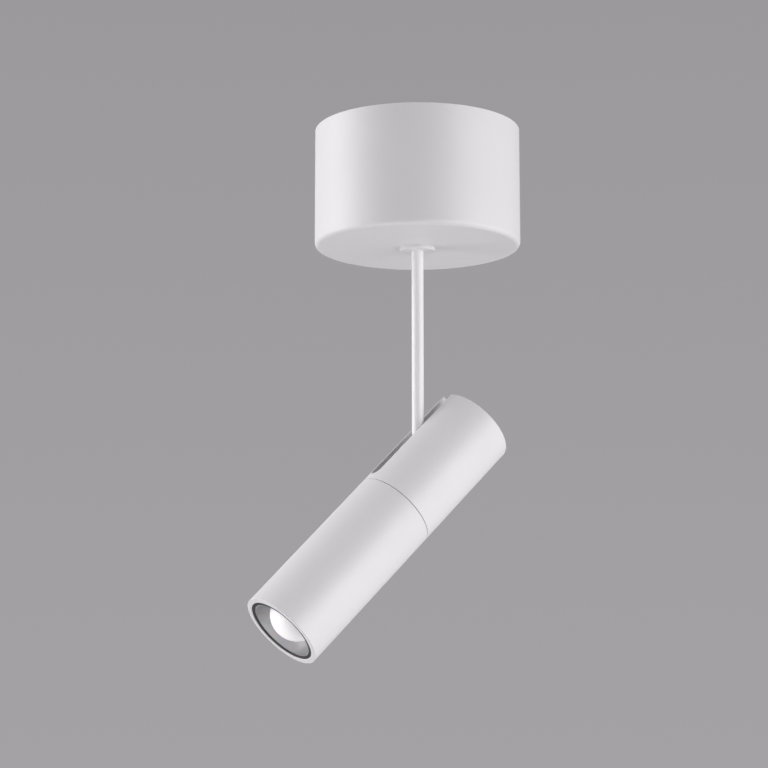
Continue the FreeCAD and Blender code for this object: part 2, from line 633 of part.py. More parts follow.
def driver_cover(model):
    """Snap-on cover of the driver with its plug inside the case."""
    body = model.body("driver_cover", y=DRIVER_MIDDLE,
                      z="-plate_thickness - driver_height + driver_cover_height")
    end = "(" + DRIVER_LENGTH + " / 2)"
    cover = model.rectangle(model.sketch(body, "XY", "-driver_cover_height"), "-" + end, end,
                            "-driver_width / 2", "driver_width / 2")
    model.pad(body, cover, "driver_cover_height")
    half_x = "(" + end + " - driver_wall - driver_gap)"
    half_y = "(driver_width / 2 - driver_wall - driver_gap)"
    plug = model.rectangle(model.sketch(body, "XY"), "-" + half_x, half_x, "-" + half_y, half_y)
    model.pad(body, plug, "driver_wall")


def driver_board(model):
    """Driver's circuit board with its transformer and capacitor, on the case's pillars."""
    body = model.body("driver_board", y=DRIVER_MIDDLE, z="-plate_thickness - driver_wall - driver_pillar")
    half_x = "(" + DRIVER_LENGTH + " / 2 - driver_wall - 2 * driver_gap)"
    half_y = "(driver_width / 2 - driver_wall - 2 * driver_gap)"
    board = model.rectangle(model.sketch(body, "XY", "-board_thickness"), "-" + half_x, half_x,
                            "-" + half_y, half_y)
    model.pad(body, board, "board_thickness")
    tall = "(driver_height - driver_cover_height - driver_pillar - 3 * driver_wall - board_thickness)"
    half = "transformer_size / 2"
    transformer = model.rectangle(model.sketch(body, "XY", "-board_thickness - " + tall),
                                  "-transformer_place - " + half, "-transformer_place + " + half,
                                  "-" + half, half)
    model.pad(body, transformer, tall)
    capacitor = model.circle(model.sketch(body, "XY", "-board_thickness - " + tall), "capacitor_radius",
                             half_x + " - capacitor_inset")
    model.pad(body, capacitor, tall)


def terminal_block(model):
    """Three pole screw terminal: wire ways along Y and a screw over each end of a pole."""
    body = model.body("terminal_block", y=TERMINAL_MIDDLE, z="-plate_thickness")
    block = model.rectangle(model.sketch(body, "XY", "-terminal_height"), "-terminal_length / 2",
                            "terminal_length / 2", "-terminal_width / 2", "terminal_width / 2")
    model.pad(body, block, "terminal_height")
    ways = model.sketch(body, "XZ")
    for pole in ("-1", "0", "1"):
        model.circle(ways, "terminal_bore_radius", "%s * terminal_pitch" % pole, "-terminal_height / 2")
    model.pocket(body, ways, middle=True)
    heads = model.sketch(body, "XY", "-terminal_height")
    shanks = model.sketch(body, "XY", "-terminal_height")
    for x, y in terminal_screw_places():
        model.circle(heads, "small_head_radius + driver_gap", x, y)
        model.circle(shanks, "small_screw_radius", x, y)
    model.pocket(body, heads, "small_head_height", turned=True)
    model.pocket(body, shanks, "terminal_height / 2", turned=True)
    lugs(model, body, "terminal_length")


def terminal_screw_places():
    """The six terminal screws, from the middle of the block."""
    return [("%s * terminal_pitch" % pole, "%s * terminal_width / 4" % side)
            for pole in ("-1", "0", "1") for side in ("-1", "1")]


def terminal_screws(model):
    """Six screws that hold the wires in the terminal block."""
    screws = []
    for number, (x, y) in enumerate(terminal_screw_places(), start=1):
        body = model.body("terminal_screw_%d" % number, x, TERMINAL_MIDDLE + " + " + y,
                          "-plate_thickness - terminal_height + small_head_height")
        model.slotted_screw(body, "small_head_radius", "small_head_height", "small_screw_radius",
                            "terminal_height / 2 - small_head_height - terminal_bore_radius", "-1")
        screws.append(body)
    model.group("terminal_screws", screws)


def cable_clamp(model):
    """Steel strap that arches over the supply cable and is screwed down at both feet."""
    body = model.body("cable_clamp", y=CLAMP_MIDDLE, z="-plate_thickness")
    out = "(clamp_length / 2)"
    inner = "(clamp_length / 2 - clamp_sheet)"
    top = "-(clamp_height - clamp_sheet)"
    corner = "clamp_corner - clamp_height"
    arch = model.outline(model.sketch(body, "XZ"), [
        ("-" + out, "0"), ("-" + out, corner), ("-" + out + " + clamp_corner", "-clamp_height"),
        (out + " - clamp_corner", "-clamp_height"), (out, corner), (out, "0"),
        (inner, "0"), (inner, top), ("-" + inner, top), ("-" + inner, "0")])
    model.pad(body, arch, "clamp_width", middle=True)
    for side in ("-", ""):
        near, far = inner, "(clamp_length / 2 + lug_reach)"
        low, high = ("-" + far, "-" + near) if side else (near, far)
        foot = model.rectangle(model.sketch(body, "XY", "-lug_thickness"), low, high,
                               "-clamp_width / 2", "clamp_width / 2")
        model.pad(body, foot, "lug_thickness")
    holes = model.sketch(body, "XY")
    for side in ("-1", "1"):
        model.circle(holes, "small_screw_radius", "%s * (clamp_length / 2 + %s)" % (side, LUG_PLACE))
    model.pocket(body, holes, "lug_thickness")


def plate_screws(model):
    """Six equal screws that hold the driver, the terminal block and the cable clamp to the plate."""
    screws = []
    for number, (x, y) in enumerate(plate_screw_places(), start=1):
        body = model.body("plate_screw_%d" % number, x, y, "-plate_thickness - lug_thickness")
        model.slotted_screw(body, "small_head_radius", "small_head_height", "small_screw_radius",
                            "plate_thickness + lug_thickness", "-1")
        screws.append(body)
    model.group("plate_screws", screws)


def earth_screw(model):
    """Earth screw in the ceiling plate."""
    body = model.body("earth_screw", EARTH_X, EARTH_Y, "-plate_thickness - earth_washer_height")
    model.slotted_screw(body, "small_head_radius", "small_head_height", "small_screw_radius",
                        "plate_thickness + earth_washer_height", "-1")


def earth_washer(model):
    """Washer under the earth screw's head."""
    body = model.body("earth_washer", EARTH_X, EARTH_Y, "-plate_thickness")
    model.ring(body, "small_screw_radius", "earth_washer_radius", "-earth_washer_height", "0")


# -- rod: everything that turns in the bush --------------------------------------------------------

def rod_tube(model):
    """Thin steel tube with a window near its lower end where the lead comes out."""
    body = model.body("rod_tube", z=ROD_BOTTOM)
    model.ring(body, "rod_bore_radius", "rod_radius", "0", "%s - %s" % (ROD_TOP, ROD_BOTTOM))
    window = model.rectangle(model.sketch(body, "XZ"), "-window_width / 2", "window_width / 2",
                             "knuckle_plug + lead_tail", "knuckle_plug + lead_tail + window_height")
    model.pocket(body, window)


def rod_collar(model):
    """Round disc on the rod just below the drum."""
    body = model.body("rod_collar", z="-canopy_height - collar_gap - collar_height")
    feature = model.ring(body, "rod_radius", "collar_radius", "0", "collar_height")
    model.rounded(body, feature, "collar_round", model.rims(("collar_radius", "0")))


def thrust_washer(model):
    """Nylon washer that the rotation stop slides on."""
    body = model.body("thrust_washer", z=THRUST_LEVEL)
    model.ring(body, "rod_radius", "thrust_radius", "0", "thrust_height")


def stop_disc(model):
    """Disc on the rod whose finger meets the stop pin."""
    body = model.body("stop_disc", z=STOP_LEVEL)
    model.ring(body, "rod_radius", "stop_disc_radius", "0", "stop_disc_height")
    finger = model.rectangle(model.sketch(body, "XY"), "(rod_radius + stop_disc_radius) / 2",
                             "stop_finger_reach", "-stop_finger_width / 2", "stop_finger_width / 2")
    model.pad(body, finger, "stop_disc_height")


def spring_washer(model):
    """Dished spring washer under the lock nut."""
    body = model.body("spring_washer", z=SPRING_LEVEL)
    inner = "rod_radius + turning_gap"
    model.turned(body, [
        (inner, "spring_dish"), ("spring_radius", "0"), ("spring_radius", "spring_sheet"),
        (inner, "spring_dish + spring_sheet")])


def hexagon_nut(model, body, flats, height, bore):
    """A nut along +Z with its upper corners turned off."""
    nut = model.hexagon(model.sketch(body, "XY"), flats)
    model.pad(body, nut, height)
    model.pocket(body, model.circle(model.sketch(body, "XY"), bore), middle=True)
    corner = "(%s / sqrt(3))" % flats
    outside = "(%s + %s)" % (corner, PAST)
    drop = "((%s - %s / 2) * tan(%s))" % (outside, flats, NUT_BEVEL)
    model.groove(body, [("%s / 2" % flats, height), (outside, "%s - %s" % (height, drop)), (outside, height)])


def rod_lock_nut(model):
    """Lock nut that clamps the rod, its washers and the rotation stop to the bush."""
    body = model.body("rod_lock_nut", z=NUT_LEVEL)
    hexagon_nut(model, body, "rod_nut_flats", "rod_nut_height", "rod_radius")


def rod_end_bush(model):
    """Plastic bush in the rod's upper end, over whose lip the lead runs."""
    body = model.body("rod_end_bush", z=ROD_TOP)
    bore = "rod_bore_radius - end_bush_wall"
    model.turned(body, [
        (bore, "-end_bush_depth"), ("rod_bore_radius", "-end_bush_depth"), ("rod_bore_radius", "0"),
        ("end_bush_flange", "0"), ("end_bush_flange", "end_bush_lip"), (bore, "end_bush_lip")])


def rod_lead(model):
    """Twin lead inside the rod, from above its end down to the window."""
    low = "knuckle_plug + lead_tail / 2"
    body = model.body("rod_lead", z=ROD_BOTTOM)
    lead = model.circle(model.sketch(body, "XY", low), "lead_radius")
    model.pad(body, lead, "%s + lead_tail - %s - (%s)" % (ROD_TOP, ROD_BOTTOM, low))


def rod_knuckle(model):
    """Turned and milled end of the rod: spigot, round neck, flat blade and the hinge eye."""
    body = model.body("rod_knuckle", z=PIVOT_LEVEL)
    neck = "(knuckle_reach - knuckle_neck)"
    model.turned(body, [
        ("0", neck), ("rod_radius", neck), ("rod_radius", "knuckle_reach"),
        ("rod_bore_radius", "knuckle_reach"), ("rod_bore_radius", "knuckle_reach + knuckle_plug"),
        ("0", "knuckle_reach + knuckle_plug")])
    blade = model.rectangle(model.sketch(body, "XZ"), "-rod_radius", "rod_radius", "0", neck)
    model.pad(body, blade, "knuckle_blade", middle=True)
    eye = model.circle(model.sketch(body, "XZ"), "knuckle_eye_radius")
    model.pad(body, eye, "knuckle_blade", middle=True)
    bore = model.circle(model.sketch(body, "XZ"), "pin_radius + turning_gap")
    model.pocket(body, bore, middle=True)


# -- head: everything that tilts on the rod's knuckle ----------------------------------------------

def rear_housing(model):
    """Slotted tube: the rod swings in its slot from straight behind to square with the head."""
    body = model.head_body("rear_housing")
    low = "seam_gap / 2 - seam_reach"
    feature = model.ring(body, "head_bore_radius", "head_radius", low, "rear_reach")
    feature = model.rounded(body, feature, "head_edge", model.rims(
        ("head_radius", "rear_reach"), ("head_bore_radius", "rear_reach")))
    model.rounded(body, feature, "seam_edge", model.rims(("head_radius", low)))
    end = "(slot_width / 2 - slot_reach)"
    slot = model.rectangle(model.sketch(body, "YZ"), "-slot_width / 2", "slot_width / 2",
                           end, "rear_reach + " + PAST)
    model.pocket(body, slot)
    feature = model.pocket(body, model.circle(model.sketch(body, "YZ"), "slot_width / 2", "0", end))
    model.rounded(body, feature, "slot_edge", slot_rim(model))


def slot_rim(model):
    """A test for the slot's edges on the outside of the housing."""
    reach = model.value("head_radius")
    half = model.value("slot_width / 2")

    def wanted(edge):
        spots = edge.discretize(5)
        on_slot = all(spot.x < 0 and abs(spot.y) < half + NEAR for spot in spots)
        return on_slot and all(abs(math.hypot(spot.x, spot.y) - reach) < NEAR for spot in spots)

    return wanted


def rear_cap(model):
    """Slotted disc that closes the rear housing around the rod's way."""
    body = model.head_body("rear_cap")
    top = "(rear_reach - cap_sink)"
    model.turned(body, [
        ("0", top + " - cap_thickness"), ("head_bore_radius", top + " - cap_thickness"),
        ("head_bore_radius", top), ("0", top)])
    way = model.rectangle(model.sketch(body, "XY"), "-head_bore_radius - " + PAST, "0",
                          "-slot_width / 2", "slot_width / 2")
    model.pocket(body, way, middle=True)
    model.pocket(body, model.circle(model.sketch(body, "XY"), "slot_width / 2"), middle=True)


def coupler(model):
    """Turned aluminium piece that joins the housings: pressed in the rear, threaded in the front."""
    body = model.head_body("coupler")
    inside = "head_bore_radius - coupler_wall"
    low = COUPLER_UNDER + " - coupler_thread"
    model.turned(body, [
        ("0", "-coupler_floor"), (inside, "-coupler_floor"), (inside, COUPLER_TOP),
        ("head_bore_radius", COUPLER_TOP), ("head_bore_radius", low), (inside, low),
        (inside, COUPLER_UNDER), ("0", COUPLER_UNDER)])
    notch = model.rectangle(model.sketch(body, "YZ"), "-coupler_notch / 2", "coupler_notch / 2",
                            "-coupler_floor", COUPLER_TOP + " + " + PAST)
    model.pocket(body, notch)
    holes = model.sketch(body, "XY")
    model.circle(holes, "lead_hole_radius", "lead_hole_place")
    for side in ("-1", "1"):
        model.circle(holes, "yoke_screw_radius", "%s * yoke_screw_spacing / 2" % side)
    model.pocket(body, holes, middle=True)


def hinge_yoke(model):
    """Steel fork on the coupler's floor, whose two ears hold the hinge screw."""
    body = model.head_body("hinge_yoke")
    foot_top = "(yoke_foot - coupler_floor)"
    wide = "2 * " + EAR_OUTER
    foot = model.rectangle(model.sketch(body, "XZ"), "-yoke_length / 2", "yoke_length / 2",
                           "-coupler_floor", foot_top)
    model.pad(body, foot, wide, middle=True)
    ears = model.rectangle(model.sketch(body, "XZ"), "-yoke_ear_radius", "yoke_ear_radius", foot_top, "0")
    model.pad(body, ears, wide, middle=True)
    model.pad(body, model.circle(model.sketch(body, "XZ"), "yoke_ear_radius"), wide, middle=True)
    gap = model.rectangle(model.sketch(body, "XZ"), "-yoke_length / 2", "yoke_length / 2",
                          foot_top, "yoke_ear_radius + " + PAST)
    model.pocket(body, gap, "2 * " + EAR_INNER, middle=True)
    model.pocket(body, model.circle(model.sketch(body, "XZ"), "pin_radius"), middle=True)
    holes = model.sketch(body, "XY", "-coupler_floor")
    for side in ("-1", "1"):
        model.circle(holes, "yoke_screw_radius", "%s * yoke_screw_spacing / 2" % side)
    model.pocket(body, holes, "yoke_foot", turned=True)


def yoke_screws(model):
    """Two screws from below the coupler's floor into the yoke's foot."""
    screws = []
    for number, side in enumerate(("-1", "1"), start=1):
        body = model.head_body("yoke_screw_%d" % number, "%s * yoke_screw_spacing / 2" % side,
                               z=COUPLER_UNDER)
        model.slotted_screw(body, "yoke_screw_head_radius", "yoke_screw_head_height",
                            "yoke_screw_radius", "coupler_floor_thickness + yoke_foot", "-1")
        screws.append(body)
    model.group("yoke_screws", screws)


def friction_washers(model):
    """Two washers between the knuckle's blade and the yoke's ears, which hold the tilt."""
    washers = []
    near = "(knuckle_blade / 2 + turning_gap)"
    for number, side in enumerate(("-", ""), start=1):
        body = model.head_body("friction_washer_%d" % number)
        corners = [("pin_radius", side + near), ("friction_washer_radius", side + near),
                   ("friction_washer_radius", side + EAR_INNER), ("pin_radius", side + EAR_INNER)]
        model.turned(body, corners, plane="XY")
        washers.append(body)
    model.group("friction_washers", washers)


def hinge_spring(model):
    """Dished spring washer between an ear and the hinge screw's head."""
    body = model.head_body("hinge_spring")
    inner = "pin_radius + turning_gap"
    outer = "pin_head_radius"
    model.turned(body, [
        (inner, EAR_OUTER + " + spring_dish"), (outer, EAR_OUTER), (outer, EAR_OUTER + " + spring_sheet"),
        (inner, EAR_OUTER + " + spring_dish + spring_sheet")], plane="XY")


def hinge_screw(model):
    """Screw through the yoke and the knuckle: the head tilts about it."""
    body = model.head_body("hinge_screw")
    seat = "(%s + spring_sheet + spring_dish)" % EAR_OUTER
    tail = "-(%s + pin_nut_height + pin_tail)" % EAR_OUTER
    model.turned(body, [
        ("0", tail), ("pin_radius", tail), ("pin_radius", seat), ("pin_head_radius", seat),
        ("pin_head_radius", seat + " + pin_head_height"), ("0", seat + " + pin_head_height")], plane="XY")
    socket = model.hexagon(model.sketch(body, "XZ", "-%s - pin_head_height" % seat), "pin_socket")
    model.pocket(body, socket, "pin_socket_depth", turned=True)


def hinge_nut(model):
    """Nut of the hinge screw, against the other ear."""
    body = model.head_body("hinge_nut")
    nut = model.hexagon(model.sketch(body, "XZ", EAR_OUTER), "pin_nut_flats")
    model.pad(body, nut, "pin_nut_height")
    model.pocket(body, model.circle(model.sketch(body, "XZ"), "pin_radius"), middle=True)


def front_housing(model):
    """Tube that screws onto the coupler and holds the light source."""
    body = model.head_body("front_housing")
    high = "-seam_reach - seam_gap / 2"
    feature = model.ring(body, "head_bore_radius", "head_radius", MOUTH, high)
    feature = model.rounded(body, feature, "head_edge", model.rims(
        ("head_radius", MOUTH), ("head_bore_radius", MOUTH)))
    model.rounded(body, feature, "seam_edge", model.rims(("head_radius", high)))


def heat_sink(model):
    """Aluminium disc with a finned core behind it, pressed in the front housing."""
    body = model.head_body("heat_sink")
    base_top = "(%s + sink_base)" % SINK_LEVEL
    end = "(%s + sink_length)" % SINK_LEVEL
    model.turned(body, [
        ("0", SINK_LEVEL), ("head_bore_radius", SINK_LEVEL), ("head_bore_radius", base_top),
        ("sink_core_radius", base_top), ("sink_core_radius", end), ("0", end)])
    profile = model.sketch(body, "XY", base_top)
    turn = FreeCAD.Rotation(FreeCAD.Vector(0, 0, 1), 1)
    profile.AttachmentOffset = FreeCAD.Placement(FreeCAD.Vector(), turn)
    model.bind(profile, "AttachmentOffset.Rotation.Angle", "180 / fin_count")
    model.rectangle(profile, "sink_core_radius - " + PAST, "head_bore_radius - fin_gap",
                    "-fin_thickness / 2", "fin_thickness / 2")
    fin = model.pad(body, profile, "sink_length - sink_base")
    model.repeated(body, fin, "fin_count")
    holes = model.sketch(body, "XY")
    model.circle(holes, "lead_hole_radius", "lead_hole_place")
    for side in ("-1", "1"):
        model.circle(holes, "holder_screw_radius", "0", "%s * holder_screw_place" % side)
    model.pocket(body, holes, middle=True)


def thermal_pad(model):
    """Soft pad between the LED board and the heat sink."""
    body = model.head_body("thermal_pad")
    disc = model.circle(model.sketch(body, "XY", BOARD_BACK), "pad_radius")
    model.pad(body, disc, "pad_thickness")


def led_board(model):
    """Round metal core board, with the holes of the holder's screws."""
    body = model.head_body("led_board")
    disc = model.circle(model.sketch(body, "XY", BOARD_FRONT), "led_board_radius")
    model.pad(body, disc, "board_thickness")
    holder_screw_holes(model, body)


def holder_screw_holes(model, body):
    """The holes of the holder's two screws, through the board or the holder."""
    holes = model.sketch(body, "XY")
    for side in ("-1", "1"):
        model.circle(holes, "holder_screw_radius", "0", "%s * holder_screw_place" % side)
    model.pocket(body, holes, middle=True)


def led_emitter(model):
    """Phosphor disc on the board."""
    body = model.head_body("led_emitter")
    disc = model.circle(model.sketch(body, "XY", BOARD_FRONT + " - emitter_height"), "emitter_radius")
    model.pad(body, disc, "emitter_height")


def led_holder(model):
    """Moulded ring that clamps the board to the heat sink."""
    body = model.head_body("led_holder")
    model.ring(body, "holder_bore_radius", "holder_radius", HOLDER_FRONT, BOARD_FRONT)
    holder_screw_holes(model, body)


def holder_screws(model):
    """Two screws through the holder and the board into the heat sink."""
    screws = []
    for number, side in enumerate(("-1", "1"), start=1):
        body = model.head_body("holder_screw_%d" % number, y="%s * holder_screw_place" % side, z=HOLDER_FRONT)
        model.slotted_screw(body, "holder_screw_head", "holder_screw_head_height", "holder_screw_radius",
                            "holder_height + board_thickness + pad_thickness + sink_base", "-1")
        screws.append(body)
    model.group("holder_screws", screws)


def optic_holder(model):
    """Black sleeve from the heat sink to the front ring, whose shelf carries lens and reflector."""
    body = model.head_body("optic_holder")
    inside = "optic_radius - optic_wall"
    low = "baffle_depth + baffle_height - mouth_reach"
    model.turned(body, [
        (inside, low), ("optic_radius", low), ("optic_radius", SINK_LEVEL), (inside, SINK_LEVEL),
        (inside, SHELF_LEVEL + " + optic_shelf"), ("optic_shelf_bore", SHELF_LEVEL + " + optic_shelf"),
        ("optic_shelf_bore", SHELF_LEVEL), (inside, SHELF_LEVEL)])


def half_dome(model, name, radius, height):
    """Half an ellipsoid below the lens's base, with its top towards the mouth."""
    dome = model.doc.addObject("Part::Ellipsoid", name)
    dome.Angle1 = -90.0
    dome.Angle2 = 0.0
    dome.Angle3 = 360.0
    model.bind(dome, "Radius1", height)
    model.bind(dome, "Radius2", radius)
    model.bind(dome, "Placement.Base.z", LENS_LEVEL)
    return dome


def lens_cylinder(model, name, radius):
    """A disc as high as the lens's flange, on the lens's base."""
    cylinder = model.doc.addObject("Part::Cylinder", name)
    model.bind(cylinder, "Radius", radius)
    model.bind(cylinder, "Height", "lens_flange_height")
    model.bind(cylinder, "Placement.Base.z", LENS_LEVEL)
    return cylinder


def lens_dome(model):
    """Frosted moulded dome with a flange that rests on the optic holder's shelf."""
    solids = model.doc.addObject("Part::MultiFuse", "lens_outside")
    solids.Shapes = [half_dome(model, "lens_outer_dome", "lens_radius", "lens_height"),
                     lens_cylinder(model, "lens_flange_disc", "lens_radius + lens_flange")]
    hollow = model.doc.addObject("Part::MultiFuse", "lens_inside")
    bore = "lens_radius - lens_wall"
    hollow.Shapes = [half_dome(model, "lens_inner_dome", bore, "lens_height - lens_wall"),
                     lens_cylinder(model, "lens_bore", bore)]
    lens = model.doc.addObject("Part::Cut", "lens_dome")
    lens.Label = "lens_dome"
    lens.Base = solids
    lens.Tool = hollow
    lens.Placement = FreeCAD.Placement(FreeCAD.Vector(), FreeCAD.Rotation(FreeCAD.Vector(0, 1, 0), 1))
    model.bind(lens, "Placement.Rotation.Angle", "rest_tilt")
    model.bind(lens, "Placement.Base.z", PIVOT_LEVEL)
    model.parts.append(lens)


def reflector(model):
    """Spun bowl from the lens to the black ring, with a short straight rim."""
    body = model.head_body("reflector")
    neck = "(lens_radius + reflector_neck_gap)"
    rim = "(reflector_rim_depth - mouth_reach)"
    model.turned(body, [
        (neck, LENS_LEVEL, "reflector_curve", -1), ("reflector_rim_radius - reflector_sheet", rim),
        ("reflector_rim_radius", rim),
        ("reflector_rim_radius", rim + " + reflector_rim_height", "reflector_curve + reflector_sheet", 1),
        (neck + " + reflector_sheet", LENS_LEVEL)])


def black_ring(model):
    """Anti-glare ring clipped in the mouth around the reflector's rim."""
    body = model.head_body("black_ring")
    model.ring(body, "reflector_rim_radius", "head_bore_radius", MOUTH + " + baffle_depth",
               MOUTH + " + baffle_depth + baffle_height")


def head_lead(model):
    """Twin lead from the LED board through the heat sink and the coupler to the hinge."""
    body = model.head_body("head_lead", x="lead_hole_place")
    lead = model.circle(model.sketch(body, "XY", BOARD_BACK), "lead_radius")
    model.pad(body, lead, "lead_rise - coupler_floor - " + BOARD_BACK)


def build():
    """Draws every sub-part in the order in which the light is put together."""
    model = Model("ceiling_spotlight")
    for sub_part in (
            ceiling_plate, cable_grommet, canopy_shell, canopy_grub_screws, swivel_plate, swivel_bush,
            stop_pin, driver_case, driver_board, driver_cover, terminal_block, terminal_screws,
            cable_clamp, plate_screws, earth_washer, earth_screw,
            rod_tube, rod_collar, thrust_washer, stop_disc, spring_washer, rod_lock_nut,
            rod_end_bush, rod_lead, rod_knuckle,
            rear_housing, rear_cap, coupler, hinge_yoke, yoke_screws, friction_washers, hinge_spring,
            hinge_screw, hinge_nut, front_housing, heat_sink, thermal_pad, led_board, led_emitter,
            led_holder, holder_screws, optic_holder, lens_dome, reflector, black_ring, head_lead):
        sub_part(model)
    model.export()


build()
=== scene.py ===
"""Looks of a white ceiling spotlight: a round canopy, a thin turning rod and a tilting tubular head.

Blender works in metres. Lengths of the studio are in metres, and those of the light and of the mesh
functions are in millimetres, unless a name says otherwise.
"""

import json
import logging
import math
from dataclasses import dataclass, field
from enum import Enum
from typing import Any

import bmesh
import bpy
import numpy as np
from mathutils import Matrix, Vector


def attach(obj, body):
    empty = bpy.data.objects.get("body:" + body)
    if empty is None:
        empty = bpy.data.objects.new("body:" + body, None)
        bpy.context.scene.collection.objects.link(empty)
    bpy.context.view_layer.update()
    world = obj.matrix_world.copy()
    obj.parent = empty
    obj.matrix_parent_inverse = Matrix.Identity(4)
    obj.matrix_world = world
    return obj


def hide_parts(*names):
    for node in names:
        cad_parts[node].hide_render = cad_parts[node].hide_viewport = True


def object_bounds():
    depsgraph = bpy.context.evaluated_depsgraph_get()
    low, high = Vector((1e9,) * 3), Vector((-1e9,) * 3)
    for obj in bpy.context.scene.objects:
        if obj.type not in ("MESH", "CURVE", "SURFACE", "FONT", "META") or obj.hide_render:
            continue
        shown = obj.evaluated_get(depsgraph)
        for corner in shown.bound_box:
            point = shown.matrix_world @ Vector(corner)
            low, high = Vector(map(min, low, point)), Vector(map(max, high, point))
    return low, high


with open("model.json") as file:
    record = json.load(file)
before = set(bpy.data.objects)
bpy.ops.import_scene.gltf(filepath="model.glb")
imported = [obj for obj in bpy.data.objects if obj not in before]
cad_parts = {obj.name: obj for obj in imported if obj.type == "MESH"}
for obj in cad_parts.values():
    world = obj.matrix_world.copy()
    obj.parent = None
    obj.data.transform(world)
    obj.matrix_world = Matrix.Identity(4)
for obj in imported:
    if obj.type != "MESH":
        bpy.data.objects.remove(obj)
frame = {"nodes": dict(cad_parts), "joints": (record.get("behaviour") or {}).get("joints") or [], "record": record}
CAD_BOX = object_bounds()

LOG = logging.getLogger("ceiling_spotlight")
MM = 0.001
REST_TILT_DEG = 45.0
PIVOT = Vector(next(joint for joint in frame["joints"] if joint["name"] == "head_tilt")["pos_m"])
HEAD_PLACE = Matrix.Translation(PIVOT) @ Matrix.Rotation(math.radians(REST_TILT_DEG), 4, "Y")
UNMOVED = Matrix()

# Radius, height and rounding of each corner of a turned profile.
Corners = list[tuple[float, float, float]]


# -- node trees ---------------------------------------------------------------------------------------

def linear(colour: str) -> tuple[float, float, float, float]:
    """The linear RGBA of an sRGB colour.

    A part p of up to 0.04045 becomes p / 12.92, and a larger one ((p + 0.055) / 1.055) ^ 2.4.

    Args:
        colour: Six hexadecimal digits after a hash.

    Returns:
        Red, green, blue and an alpha of one.
    """
    parts = [int(colour[place:place + 2], 16) / 255 for place in (1, 3, 5)]
    red, green, blue = (p / 12.92 if p <= 0.04045 else ((p + 0.055) / 1.055) ** 2.4 for p in parts)
    return red, green, blue, 1.0


def per_metre(size_mm: float) -> float:
    """How often a pattern of that many millimetres repeats in a metre."""
    return 1000 / size_mm


def empty_tree(owner: bpy.types.Material | bpy.types.World) -> bpy.types.NodeTree:
    """Empties a node tree.

    Args:
        owner: The material or world that has it.

    Returns:
        The tree, with no nodes in it.
    """
    owner.use_nodes = True
    owner.node_tree.nodes.clear()
    return owner.node_tree


def add(tree: bpy.types.NodeTree, kind: str, settings: dict[Any, Any] | None = None,
        links: dict[Any, Any] | None = None) -> bpy.types.Node:
    """Adds one node with its settings and links.

    Inputs whose names repeat go by number: a Mix node blends 2 into 3 as numbers, and 6 into 7 as colours.

    Args:
        tree: The node tree that it goes into.
        kind: Blender's name of the node type.
        settings: Values by input name or number, or by property name.
        links: Output sockets by input name or number.

    Returns:
        The new node.
    """
    node = tree.nodes.new(kind)
    for name, value in (settings or {}).items():
        if isinstance(name, int) or name in node.inputs:
            node.inputs[name].default_value = value
        else:
            setattr(node, name, value)
    for name, source in (links or {}).items():
        tree.links.new(source, node.inputs[name])
    return node


# -- finishes -----------------------------------------------------------------------------------------

class Process(Enum):
    """How a surface was made, which decides its pattern."""

    COATED = "sprayed and baked"
    MOULDED = "injection moulded"
    ROLLED = "rolled and plated"
    TURNED = "turned on a lathe"
    GROUND = "granular"


# Fine detail in the height pattern: a coat flows out smoothly before it sets, and grains stay rough.
RELIEF_DETAIL = {Process.COATED: 2.0, Process.MOULDED: 6.0, Process.ROLLED: 4.0, Process.GROUND: 8.0}
# How much the pattern is drawn out along the way of rolling.
ROLLING_STRETCH = (0.06, 1.0, 1.0)
# Waves in a metre of a wave texture whose scale is one, and how much a tool mark wanders.
WAVES_PER_METRE = 20 / math.tau
TOOL_MARK_WANDER = 0.6
# Detail of the soft patches of colour, and how far the roughness rises and falls with them.
PATCH_DETAIL = 3.0
ROUGHNESS_SPREAD = 0.05
# How far light travels inside a milky material.
SCATTER_MM = 2


